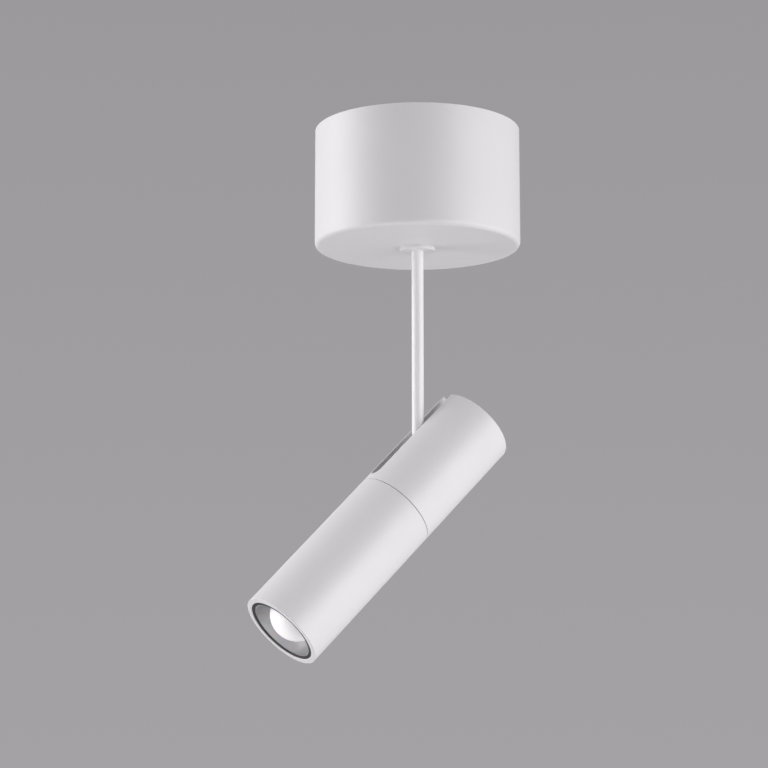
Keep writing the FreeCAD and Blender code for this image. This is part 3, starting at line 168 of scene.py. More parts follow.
@dataclass(frozen=True)
class Finish:
    """A material: what it is made of and how its surface was made."""

    name: str
    colour: str
    tint: str
    process: Process
    roughness: float
    metallic: float = 0.0
    ior: float = 1.5
    grain_mm: float = 0.4
    depth_mm: float = 0.01
    patch_mm: float = 12.0
    painted_glow: float = 0.0
    subsurface: float = 0.0
    turned_on: Matrix = field(default_factory=Matrix)

    def material(self) -> bpy.types.Material:
        """Builds the material.

        Returns:
            The Blender material with its nodes.
        """
        made = bpy.data.materials.new(self.name)
        tree = empty_tree(made)
        place = add(tree, "ShaderNodeTexCoord").outputs["Object"]
        patches = add(tree, "ShaderNodeTexNoise", {"Scale": per_metre(self.patch_mm), "Detail": PATCH_DETAIL},
                      {"Vector": place}).outputs["Fac"]
        colour = add(tree, "ShaderNodeMix", {
            "data_type": "RGBA", 6: linear(self.colour), 7: linear(self.tint)}, {0: patches}).outputs[2]
        rough = add(tree, "ShaderNodeMapRange", {
            "To Min": self.roughness - ROUGHNESS_SPREAD, "To Max": self.roughness + ROUGHNESS_SPREAD},
            {"Value": patches}).outputs["Result"]
        relief = self._relief(tree, place)
        bump = add(tree, "ShaderNodeBump", {"Strength": 1.0, "Distance": self.depth_mm * MM},
                   {"Height": relief}).outputs["Normal"]
        settings = {"Metallic": self.metallic, "IOR": self.ior}
        if self.subsurface:
            settings.update({"Subsurface Weight": self.subsurface, "Subsurface Scale": SCATTER_MM * MM})
        # Painted glow: an emission that brightens the piece as light falling on it would.
        if self.painted_glow:
            settings.update({"Emission Color": linear(self.colour), "Emission Strength": self.painted_glow})
        shader = add(tree, "ShaderNodeBsdfPrincipled", settings,
                     {"Base Color": colour, "Roughness": rough, "Normal": bump})
        add(tree, "ShaderNodeOutputMaterial", {}, {"Surface": shader.outputs["BSDF"]})
        return made

    def _relief(self, tree: bpy.types.NodeTree, place: bpy.types.NodeSocket) -> bpy.types.NodeSocket:
        """The height pattern of the process.

        Args:
            tree: The material's node tree.
            place: The object coordinates.

        Returns:
            A socket with heights from zero to one.
        """
        if self.process is Process.TURNED:
            return self._tool_marks(tree, place)
        if self.process is Process.ROLLED:
            stretched = add(tree, "ShaderNodeMapping", {"Scale": ROLLING_STRETCH}, {"Vector": place})
            place = stretched.outputs["Vector"]
        noise = add(tree, "ShaderNodeTexNoise", {
            "Scale": per_metre(self.grain_mm), "Detail": RELIEF_DETAIL[self.process]}, {"Vector": place})
        return noise.outputs["Fac"]

    def _tool_marks(self, tree: bpy.types.NodeTree, place: bpy.types.NodeSocket) -> bpy.types.NodeSocket:
        """Rings on the faces and bands along the walls, as a lathe leaves them.

        Args:
            tree: The material's node tree.
            place: The object coordinates.

        Returns:
            A socket with the heights of both sets of marks, added.
        """
        back = self.turned_on.inverted()
        own = add(tree, "ShaderNodeMapping", {"Location": back.to_translation(), "Rotation": back.to_euler()},
                  {"Vector": place}).outputs["Vector"]
        marks = [add(tree, "ShaderNodeTexWave", {
            "wave_type": kind, direction: "Z", "Scale": per_metre(self.grain_mm) / WAVES_PER_METRE,
            "Distortion": TOOL_MARK_WANDER}, {"Vector": own}).outputs["Fac"]
            for kind, direction in (("RINGS", "rings_direction"), ("BANDS", "bands_direction"))]
        return add(tree, "ShaderNodeMath", {"operation": "ADD"}, {0: marks[0], 1: marks[1]}).outputs[0]


# Satin white polyester powder, baked: a faint orange peel breaks up its soft highlights.
WHITE_COAT = Finish("satin_white_powder_coat", "#E3E1E4", "#DFDDE0", Process.COATED, 0.48, ior=1.7,
                    grain_mm=0.9, depth_mm=0.004, patch_mm=25)
# The same powder in a lighter copy for the thin rod: painted light, which brightens the rod's front beyond what
# the lamps give it.
ROD_PAINTED_LIGHT_COAT = Finish("painted_light_white_powder_coat", "#F3F1F4", "#EFEDF0", Process.COATED, 0.42, ior=1.7,
                  grain_mm=0.9, depth_mm=0.004, patch_mm=25)
# Cold rolled steel, zinc plated and clear passivated: bluish grey, clouded with a hint of straw. The drawn
# lines are coarser than the real ones, which would be too fine to show.
ZINC_STEEL = Finish("zinc_plated_steel", "#D3D9DF", "#C9C5BB", Process.ROLLED, 0.38, metallic=1.0,
                    grain_mm=0.6, depth_mm=0.02, patch_mm=6)
# Free cutting brass, turned: warm yellow with fine tool marks. The driver's windings take it too.
BRASS = Finish("turned_brass", "#C8A65E", "#BD9850", Process.TURNED, 0.28, metallic=1.0,
               grain_mm=0.22, depth_mm=0.004, patch_mm=6)
# Aluminium bar, turned and left raw: cool grey with fine tool marks round the head's axis.
RAW_ALUMINIUM = Finish("turned_aluminium", "#C3C6CA", "#B7BABE", Process.TURNED, 0.32, metallic=1.0,
                       grain_mm=0.25, depth_mm=0.005, patch_mm=10, turned_on=HEAD_PLACE)
# White solder mask on a metal core board: smooth and slightly glossy.
SOLDER_MASK = Finish("white_solder_mask", "#EDEDEA", "#E4E5E2", Process.COATED, 0.3,
                     grain_mm=0.5, depth_mm=0.002, patch_mm=5)
# Phosphor in silicone over the chips: matt yellow.
PHOSPHOR = Finish("phosphor_silicone", "#E9C84E", "#DDB63C", Process.GROUND, 0.55,
                  grain_mm=0.12, depth_mm=0.01, patch_mm=2)
# White polycarbonate, moulded in a spark eroded tool: even and nearly matt.
WHITE_PLASTIC = Finish("moulded_white_polycarbonate", "#E2E1DC", "#DAD9D4", Process.MOULDED, 0.5,
                       grain_mm=0.2, depth_mm=0.008, patch_mm=15)
# Glass fibre board with green solder mask: deep green with a soft gloss.
BOARD_GREEN = Finish("green_circuit_board", "#1F5C33", "#174A29", Process.COATED, 0.35,
                     grain_mm=0.4, depth_mm=0.01, patch_mm=4)
# Black polycarbonate, moulded in a polished tool: it shows soft reflections.
BLACK_PLASTIC = Finish("moulded_black_polycarbonate", "#161517", "#1D1C1E", Process.MOULDED, 0.32,
                       grain_mm=0.25, depth_mm=0.004, patch_mm=8)
# Heat conducting silicone pad, filled with mineral powder: dull grey.
GREY_PAD = Finish("silicone_heat_pad", "#74777C", "#686B70", Process.GROUND, 0.7,
                  grain_mm=0.3, depth_mm=0.02, patch_mm=3)
# Spun aluminium, metallised and satin: blurred grey reflections.
REFLECTOR_METAL = Finish("satin_metallised_reflector", "#C3C3C4", "#BCBCBD", Process.COATED, 0.48,
                         metallic=1.0, grain_mm=0.6, depth_mm=0.002, patch_mm=10)
# Opal acrylic, frosted, with a faint painted glow: its own emission brightens it as light would, so it is the
# whitest part.
OPAL_LENS = Finish("frosted_opal_acrylic", "#F8F7F9", "#F4F3F6", Process.COATED, 0.45,
                   grain_mm=0.5, depth_mm=0.003, patch_mm=8, painted_glow=0.22, subsurface=0.3)
# Black chloroprene rubber, moulded: dull, without a highlight.
RUBBER = Finish("black_rubber", "#1C1C1D", "#252526", Process.MOULDED, 0.7,
                grain_mm=0.3, depth_mm=0.02, patch_mm=4)
# White silicone insulation of the leads, extruded: smooth with a soft sheen.
LEAD_SHEATH = Finish("silicone_lead_insulation", "#E4E2DD", "#DAD8D2", Process.MOULDED, 0.45,
                     grain_mm=0.4, depth_mm=0.006, patch_mm=6)

# The finishes by the record's material slots, and the rod's lighter copy of the white coat, which is painted
# light.
FINISHES = {
    "white_coat": WHITE_COAT, "rod_painted_light_coat": ROD_PAINTED_LIGHT_COAT, "zinc_steel": ZINC_STEEL, "brass": BRASS,
    "raw_aluminium": RAW_ALUMINIUM, "led_board_white": SOLDER_MASK, "phosphor": PHOSPHOR,
    "white_plastic": WHITE_PLASTIC, "board_green": BOARD_GREEN, "black_plastic": BLACK_PLASTIC,
    "grey_pad": GREY_PAD, "reflector_metal": REFLECTOR_METAL, "opal_lens": OPAL_LENS, "rubber": RUBBER,
    "lead_sheath": LEAD_SHEATH,
}


# -- studio -------------------------------------------------------------------------------------------

@dataclass(frozen=True)
class Softbox:
    """A large soft lamp, placed by its turn from the camera's side, where left is negative, and its rise."""

    name: str
    turn_deg: float
    rise_deg: float
    distance: float
    width: float
    height: float
    radiance: float


@dataclass
class Studio:
    """Camera, lamps, room and floor.

    A span is where something starts and where it is complete: for the backdrop, the light above and the
    overhead it is read on a direction's height from 0 at the horizon to 1 straight up, for the light behind
    the camera on how near a direction is to the camera's, and for the floor on the distance in metres.
    """

    camera_place: tuple[float, float, float] = (-0.51947, -0.94434, -0.31570)
    camera_pitch_deg: float = 9.7365
    camera_turn_deg: float = -27.914
    camera_reach: tuple[float, float] = (0.01, 100)
    focal_px: float = 2183.0
    image_px: int = 768
    sensor_mm: float = 36.0
    backdrop_low: str = "#A4A2A4"
    backdrop_high: str = "#9C999C"
    backdrop_span: tuple[float, float] = (0.0, 0.34)
    overhead_gain: float = 1.6
    overhead_span: tuple[float, float] = (0.7, 0.95)
    light_around: float = 0.21
    light_above: float = 0.96
    light_above_span: tuple[float, float] = (0.2, 0.8)
    light_behind_camera: float = 0.10
    light_behind_span: tuple[float, float] = (0.45, 0.95)
    floor_colour: str = "#B9B7B9"
    floor_drop: float = 1.3
    floor_radius: float = 9.0
    floor_inner_ring: float = 0.2
    floor_rings: int = 12
    floor_sides: int = 96
    floor_fade_span: tuple[float, float] = (1.8, 6.0)
    lamps: tuple[Softbox, ...] = (
        Softbox("left_panel", -90, 0, 1.3, 1.0, 1.9, 3.08),
        Softbox("left_low_softbox", -90, -40, 1.1, 0.7, 0.7, 0.5),
        Softbox("right_front_panel", 40, -10, 1.3, 0.5, 1.2, 1.52),
        Softbox("right_panel", 60, -10, 1.3, 0.8, 1.4, 2.56),
        Softbox("right_side_panel", 90, -10, 1.3, 0.8, 1.4, 0.65),
        Softbox("right_back_softbox", 110, -30, 1.1, 0.7, 0.7, 0.6),
    )

    def build(self) -> None:
        """Makes the camera, the room, the floor and the lamps."""
        self._camera()
        self._room()
        self._floor()
        for lamp in self.lamps:
            self._lamp(lamp)

    def _camera(self) -> None:
        """A camera where the photograph was taken from."""
        data = bpy.data.cameras.new("photo_camera")
        data.sensor_width = self.sensor_mm
        data.lens = self.sensor_mm * self.focal_px / self.image_px
        data.clip_start, data.clip_end = self.camera_reach
        camera = new_object("photo_camera", data)
        camera.location = self.camera_place
        camera.rotation_euler = (
            math.radians(90 + self.camera_pitch_deg), 0, math.radians(self.camera_turn_deg))
        bpy.context.scene.camera = camera

    def _room(self) -> None:
        """A grey backdrop with a bright overhead that only gloss shows, and soft light mostly from above."""
        world = bpy.data.worlds.new("studio_room")
        tree = empty_tree(world)
        way = add(tree, "ShaderNodeTexCoord").outputs["Generated"]
        rise = add(tree, "ShaderNodeSeparateXYZ", {}, {0: way}).outputs["Z"]
        turn = math.radians(self.camera_turn_deg)
        to_camera = (math.sin(turn), -math.cos(turn), 0)
        ahead = add(tree, "ShaderNodeVectorMath", {"operation": "DOT_PRODUCT", 1: to_camera}, {0: way})
        smooth = {"interpolation_type": "SMOOTHSTEP"}
        low, high = self.light_above_span
        above = add(tree, "ShaderNodeMapRange", {
            **smooth, "From Min": low, "From Max": high, "To Min": self.light_around,
            "To Max": self.light_above}, {"Value": rise})
        low, high = self.light_behind_span
        behind = add(tree, "ShaderNodeMapRange", {**smooth, "From Min": low, "From Max": high},
                     {"Value": ahead.outputs["Value"]})
        level = add(tree, "ShaderNodeMix", {3: self.light_behind_camera}, {
            0: behind.outputs["Result"], 2: above.outputs["Result"]})
        light = add(tree, "ShaderNodeBackground", {"Color": (1, 1, 1, 1)}, {"Strength": level.outputs[0]})
        low, high = self.backdrop_span
        height = add(tree, "ShaderNodeMapRange", {"From Min": low, "From Max": high}, {"Value": rise})
        grey = add(tree, "ShaderNodeMix", {
            "data_type": "RGBA", 6: linear(self.backdrop_low), 7: linear(self.backdrop_high)},
            {0: height.outputs["Result"]})
        ray = add(tree, "ShaderNodeLightPath")
        low, high = self.overhead_span
        overhead = add(tree, "ShaderNodeMapRange", {**smooth, "From Min": low, "From Max": high},
                       {"Value": rise, "To Max": ray.outputs["Is Glossy Ray"]})
        brighter = add(tree, "ShaderNodeMath", {"operation": "MULTIPLY_ADD", 1: self.overhead_gain, 2: 1.0},
                       {0: overhead.outputs["Result"]})
        backdrop = add(tree, "ShaderNodeBackground", {}, {
            "Color": grey.outputs[2], "Strength": brighter.outputs[0]})
        both = add(tree, "ShaderNodeMixShader", {}, {
            0: ray.outputs["Is Diffuse Ray"], 1: backdrop.outputs[0], 2: light.outputs[0]})
        add(tree, "ShaderNodeOutputWorld", {}, {"Surface": both.outputs[0]})
        bpy.context.scene.world = world

    def _floor(self) -> None:
        """A pale round floor well below the light, which fades into the backdrop far away.

        Ring by ring its spots are (r cos t, r sin t, -drop). The rings start with the middle and then grow
        by an even factor. Its far part shines only to rays that don't light the object.
        """
        turn = round_steps(self.floor_sides)
        rings = np.geomspace(self.floor_inner_ring, self.floor_radius, self.floor_rings)
        rings = np.concatenate([[0.0], rings])
        spots = np.stack([np.outer(rings, np.cos(turn)), np.outer(rings, np.sin(turn)),
                          np.full((len(rings), len(turn)), -self.floor_drop)], axis=-1)
        floor = mesh_object("studio_floor", spots / MM, closed=False)
        material = bpy.data.materials.new("painted_floor")
        tree = empty_tree(material)
        place = add(tree, "ShaderNodeTexCoord").outputs["Object"]
        reach = add(tree, "ShaderNodeVectorMath", {"operation": "LENGTH"}, {0: place}).outputs["Value"]
        low, high = self.floor_fade_span
        fade = add(tree, "ShaderNodeMapRange", {"From Min": low, "From Max": high}, {"Value": reach})
        paint = add(tree, "ShaderNodeBsdfDiffuse", {"Color": linear(self.floor_colour)})
        lit = add(tree, "ShaderNodeLightPath").outputs["Is Diffuse Ray"]
        seen = add(tree, "ShaderNodeMath", {"operation": "SUBTRACT", 0: 1.0}, {1: lit}).outputs[0]
        distance = add(tree, "ShaderNodeEmission", {"Color": linear(self.backdrop_low)}, {"Strength": seen})
        both = add(tree, "ShaderNodeMixShader", {}, {
            0: fade.outputs["Result"], 1: paint.outputs[0], 2: distance.outputs[0]})
        add(tree, "ShaderNodeOutputMaterial", {}, {"Surface": both.outputs[0]})
        floor.data.materials.append(material)

    def _lamp(self, lamp: Softbox) -> None:
        """Places one softbox, which looks at the middle of the light.

        Args:
            lamp: The softbox.
        """
        low, high = CAD_BOX
        turn = math.radians(self.camera_turn_deg + lamp.turn_deg)
        rise = math.radians(lamp.rise_deg)
        toward = Vector((math.sin(turn) * math.cos(rise), -math.cos(turn) * math.cos(rise), math.sin(rise)))
        data = bpy.data.lights.new(lamp.name, "AREA")
        data.shape, data.size, data.size_y = "RECTANGLE", lamp.width, lamp.height
        data.energy = lamp.radiance * math.pi * lamp.width * lamp.height
        made = new_object(lamp.name, data)
        made.location = (low + high) / 2 + toward * lamp.distance
        made.rotation_euler = toward.to_track_quat("Z", "Y").to_euler()
        made.visible_camera = False


# -- meshes -------------------------------------------------------------------------------------------

# An edge stays sharp above this angle, and vertices nearer than this many metres are one.
CREASE_DEG = 40.0
WELD_M = 1e-7
# Points on a rounded corner of a profile, sides of a block's outline and steps of its edge's rounding.
CORNER_STEPS = 7
BLOCK_SIDES = 96
EDGE_STEPS = 6


def new_object(name: str, data: bpy.types.ID) -> bpy.types.Object:
    """Makes an object and links it into the scene.

    Args:
        name: Its name.
        data: Its mesh, light or camera.

    Returns:
        The object.
    """
    made = bpy.data.objects.new(name, data)
    bpy.context.scene.collection.objects.link(made)
    return made


def round_steps(sides: int) -> np.ndarray:
    """The angles of that many even steps round an axis."""
    return np.linspace(0, math.tau, sides + 1)[:-1]


def grid_faces(rows: int, columns: int, wrap_rows: bool) -> np.ndarray:
    """Quads of a grid of vertices that is numbered row by row and whose last column joins the first.

    Args:
        rows: Number of rows.
        columns: Number of columns.
        wrap_rows: Whether the last row joins the first.

    Returns:
        One row of four vertex numbers for each face.
    """
    row = np.arange(rows if wrap_rows else rows - 1)[:, None]
    column = np.arange(columns)[None, :]
    next_row, next_column = (row + 1) % rows, (column + 1) % columns
    corners = [row * columns + column, row * columns + next_column,
               next_row * columns + next_column, next_row * columns + column]
    return np.stack([corner.ravel() for corner in corners], axis=-1)


def mesh_object(name: str, spots: np.ndarray, place: Matrix = UNMOVED, closed: bool = True,
                wrap_rows: bool = False) -> bpy.types.Object:
    """A mesh object from a grid of vertices whose columns go round.

    Args:
        name: Name of the object and its mesh.
        spots: Vertices in millimetres, in rows and columns.
        place: Where the piece's own frame stands.
        closed: Whether the surface is closed, so that its faces can be turned outwards.
        wrap_rows: Whether the last row joins the first.

    Returns:
        The object, linked into the scene.
    """
    rows, columns = spots.shape[:2]
    turn = np.array(place.to_3x3())
    there = spots.reshape(-1, 3) * MM @ turn.T + np.array(place.to_translation())
    mesh = bpy.data.meshes.new(name)
    mesh.from_pydata(there.tolist(), [], grid_faces(rows, columns, wrap_rows).tolist())
    merged = bmesh.new()
    merged.from_mesh(mesh)
    bmesh.ops.remove_doubles(merged, verts=merged.verts, dist=WELD_M)
    if closed:
        bmesh.ops.recalc_face_normals(merged, faces=merged.faces)
    merged.to_mesh(mesh)
    merged.free()
    mesh.shade_smooth()
    mesh.set_sharp_from_angle(angle=math.radians(CREASE_DEG))
    return new_object(name, mesh)


def rounded_profile(corners: Corners, wrap: bool) -> np.ndarray:
    """A profile with soft corners.

    Each corner P is replaced by the parabola (1-s)^2 A + 2s(1-s) P + s^2 B, where A and B lie on its two
    runs at the corner's rounding. The two ends of an open profile have no rounding, so the points that
    stand in for their missing neighbours only have to lie elsewhere.

    Args:
        corners: Radius, height and rounding of each corner.
        wrap: Whether the last corner joins the first.

    Returns:
        Radius and height of each point of the profile.
    """
    sizes = np.array(corners)
    middle, cut = sizes[:, :2], sizes[:, 2:]
    before, after = np.roll(middle, 1, axis=0), np.roll(middle, -1, axis=0)
    if not wrap:
        before[0], after[-1] = middle[0] - 1, middle[-1] + 1
    start = middle + (before - middle) / np.linalg.norm(before - middle, axis=1, keepdims=True) * cut
    end = middle + (after - middle) / np.linalg.norm(after - middle, axis=1, keepdims=True) * cut
    s = np.linspace(0, 1, CORNER_STEPS)[None, :, None]
    curve = (1 - s) ** 2 * start[:, None] + 2 * s * (1 - s) * middle[:, None] + s ** 2 * end[:, None]
    return curve.reshape(-1, 2)


def turned(name: str, corners: Corners, place: Matrix = UNMOVED, ring: bool = True,
           sides: int = 128) -> bpy.types.Object:
    """A turned piece: its rounded profile (r, z) is carried round as (r cos t, r sin t, z).

    Args:
        name: Name of the piece.
        corners: Radius, height and rounding of each corner of the profile.
        place: Where the piece's own frame stands.
        ring: Whether the profile is a closed loop; otherwise it starts and ends on the axis.
        sides: Number of steps round the axis.

    Returns:
        The piece.
    """
    profile = rounded_profile(corners, ring)
    angle = round_steps(sides)
    radius, height = profile[:, :1], profile[:, 1:]
    spots = np.stack([radius * np.cos(angle), radius * np.sin(angle),
                      np.broadcast_to(height, (len(profile), sides))], axis=-1)
    return mesh_object(name, spots, place, wrap_rows=ring)


def block(name: str, half_x: float, half_y: float, low: float, high: float, edge: float,
          place: Matrix, squareness: float) -> bpy.types.Object:
    """A moulded block.

    Its outline is |x/a|^n + |y/b|^n = 1, so x = a sign(cos t) |cos t|^(2/n) and y likewise with sin t. Over
    the height the outline pulls in at both ends by a quarter circle of the edge's rounding.

    Args:
        name: Name of the piece.
        half_x: Half its length.
        half_y: Half its width.
        low: Its lowest height.
        high: Its highest height.
        edge: Rounding of its upper and lower edges.
        place: Where the piece's own frame stands.
        squareness: The power n, 2 for an ellipse and more for a square.

    Returns:
        The piece.
    """
    t = round_steps(BLOCK_SIDES)
    outline = np.stack([np.sign(np.cos(t)) * np.abs(np.cos(t)) ** (2 / squareness),
                        np.sign(np.sin(t)) * np.abs(np.sin(t)) ** (2 / squareness)], axis=-1)
    quarter = np.linspace(0, math.pi / 2, EDGE_STEPS)
    pull = np.concatenate([edge * (1 - np.sin(quarter)), edge * (1 - np.cos(quarter))])
    height = np.concatenate([low + edge * (1 - np.cos(quarter)), high - edge * (1 - np.sin(quarter))])
    half = np.array([half_x, half_y])
    walls = outline[None] * (half[None, None] - pull[:, None, None])
    walls = np.concatenate([walls[:1] * 0, walls, walls[-1:] * 0])
    height = np.concatenate([height[:1], height, height[-1:]])
    spots = np.concatenate([walls, np.broadcast_to(height[:, None, None], walls.shape[:2] + (1,))], axis=-1)
    return mesh_object(name, spots, place)


def coiled_wire(name: str, coil_radius: float, pitch: float, wire_radius: float, low: float, high: float,
                start_turn: float, place: Matrix, steps_per_turn: int = 24,
                sides: int = 12) -> bpy.types.Object:
    """A wire on a helix.

    The middle line is C = (R cos w, R sin w, z), with w = 2 pi (z / pitch + start). With
    N = (cos w, sin w, 0), the tangent T and B = T x N, the wire's skin is C + r (cos a N + sin a B). Both
    ends are closed.

    Args:
        name: Name of the piece.
        coil_radius: Radius R of the helix.
        pitch: Height of one turn.
        wire_radius: Radius r of the wire.
        low: Height of its lower end.
        high: Height of its upper end.
        start_turn: Part of a turn by which the helix is turned round its axis.
        place: Where the piece's own frame stands.
        steps_per_turn: Steps along one turn.
        sides: Steps round the wire.

    Returns:
        The piece.
    """
    z = np.linspace(low, high, int(steps_per_turn * (high - low) / pitch) + 2)
    z = np.concatenate([z[:1], z, z[-1:]])
    skin = np.full(len(z), wire_radius)
    skin[[0, -1]] = 0
    w = math.tau * (z / pitch + start_turn)
    none = np.zeros_like(w)
    out = np.stack([np.cos(w), np.sin(w), none], axis=-1)
    along = np.stack([-np.sin(w), np.cos(w), np.full_like(w, pitch / (math.tau * coil_radius))], axis=-1)
    along /= np.linalg.norm(along, axis=1, keepdims=True)
    across = np.cross(along, out)
    middle = coil_radius * out + np.stack([none, none, z], axis=-1)
    a = round_steps(sides)[:, None]
    ring = np.cos(a) * out[:, None] + np.sin(a) * across[:, None]
    return mesh_object(name, middle[:, None] + skin[:, None, None] * ring, place)


# -- the light ----------------------------------------------------------------------------------------

@dataclass
class SubAssembly:
    """The pieces that ride on one body."""

    body: str
    materials: dict[str, bpy.types.Material]
    own_finish: dict[str, str] = field(default_factory=dict)

    def build(self) -> None:
        """Builds the pieces that the script makes itself, as each sub-assembly says."""

    def put(self, piece: bpy.types.Object, slot: str, *nodes: str) -> None:
        """Finishes a new piece and lets it ride on the body.

        Args:
            piece: The piece.
            slot: The material slot that it takes its finish from.
            nodes: The CAD nodes that it stands for.
        """
        piece.data.materials.append(self.materials[self.own_finish.get(piece.name, slot)])
        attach(piece, self.body)
        if nodes:
            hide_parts(*nodes)
        LOG.info("%s: %s, %d faces", piece.name, piece.active_material.name, len(piece.data.polygons))

    def dress(self) -> None:
        """Gives the body's CAD nodes the finish of their material slots, or their own."""
        slots = {row["node"]: row["material_slot"] for row in frame["record"]["subparts"]}
        for name in frame["record"]["behaviour"]["bodies"][self.body]:
            material = self.materials[self.own_finish.get(name, slots[name])]
            for place in frame["nodes"][name].material_slots:
                place.material = material
            LOG.info("%s: %s", name, material.name)


@dataclass
class Lead:
    """Two insulated wires twisted round each other, with tinned ends."""

    name: str
    node: str
    low: float
    high: float
    place: Matrix
    wire_radius: float = 0.62
    core_radius: float = 0.36
    pitch: float = 16.0
    bare: float = 3.0

    def build(self, owner: SubAssembly) -> None:
        """Makes both wires, half a turn apart, and the strands that show at their bare ends.

        Args:
            owner: The sub-assembly that the lead rides with.
        """
        for number, start in ((1, 0.0), (2, 0.5)):
            sheath = coiled_wire(f"{self.name}_sheath_{number}", self.wire_radius, self.pitch,
                                 self.wire_radius, self.low + self.bare, self.high - self.bare, start,
                                 self.place)
            owner.put(sheath, "lead_sheath", self.node)
            strands = coiled_wire(f"{self.name}_strands_{number}", self.wire_radius, self.pitch,
                                  self.core_radius, self.low, self.high, start, self.place)
            owner.put(strands, "zinc_steel", self.node)


@dataclass(frozen=True)
class Brick:
    """A blocky component, placed from the board's middle and between the lowest point and the board."""

    name: str
    slot: str
    x: float
    y: float
    half_x: float
    half_y: float
    above_lowest: float
    below_board: float
    edge: float
    squareness: float


@dataclass(frozen=True)
class Capacitor:
    """A can in a shrunk sleeve, with a crimp near its seal and a bare top that hangs down."""

    x: float = 18.15
    radius: float = 4.0
    sleeve_lap: float = 0.9
    can_inset: float = 0.95
    can_recess: float = 0.2
    lip_edge: float = 0.1
    shoulder_edge: float = 0.5
    crimp_edge: float = 0.3
    crimp_drop: float = 1.9
    crimp_half: float = 0.5
    crimp_depth: float = 0.4
    sides: int = 64

    def sleeve(self, low: float, high: float) -> Corners:
        """Corners of the sleeve's profile, from its lower lip to its seal.

        Args:
            low: Height of its lower end.
            high: Height of the board's underside.

        Returns:
            Radius, height and rounding of each corner.
        """
        wide, lap, crimp = self.radius, self.radius - self.sleeve_lap, high - self.crimp_drop
        return [(lap, low + self.lip_edge, self.lip_edge), (wide, low, self.shoulder_edge),
                (wide, crimp - self.crimp_half, self.crimp_edge),
                (wide - self.crimp_depth, crimp, self.crimp_edge),
                (wide, crimp + self.crimp_half, self.crimp_edge), (wide, high, self.crimp_edge),
                (lap, high, self.lip_edge)]

    def can(self, low: float, high: float) -> Corners:
        """Corners of the can's profile.

        Args:
            low: Height of the sleeve's lower end.
            high: Height of the board's underside.

        Returns:
            Radius, height and rounding of each corner.
        """
        wide, top = self.radius - self.can_inset, low + self.can_recess
        return [(0, top, 0), (wide, top, self.lip_edge), (wide, high, self.lip_edge), (0, high, 0)]


@dataclass(frozen=True)
class Choke:
    """A waisted core with one layer of wire round its waist."""

    x: float = 11.6
    y: float = -5.0
    height: float = 7.0
    radius: float = 3.0
    waist_radius: float = 1.6
    flange: float = 1.0
    flange_edge: float = 0.2
    waist_edge: float = 0.1
    sides: int = 48
    coil_radius: float = 2.0
    coil_pitch: float = 0.5
    coil_gap: float = 0.3
    wire_radius: float = 0.24
    wire_steps: int = 20
    wire_sides: int = 8

    def core(self, high: float) -> Corners:
        """Corners of the core's profile.

        Args:
            high: Height of the board's underside.

        Returns:
            Radius, height and rounding of each corner.
        """
        wide, waist, low = self.radius, self.waist_radius, high - self.height
        below, above = high - (self.height - self.flange), high - self.flange
        return [(0, low, 0), (wide, low, self.flange_edge), (wide, below, self.flange_edge),
                (waist, below, self.waist_edge), (waist, above, self.waist_edge),
                (wide, above, self.flange_edge), (wide, high, self.flange_edge), (0, high, 0)]


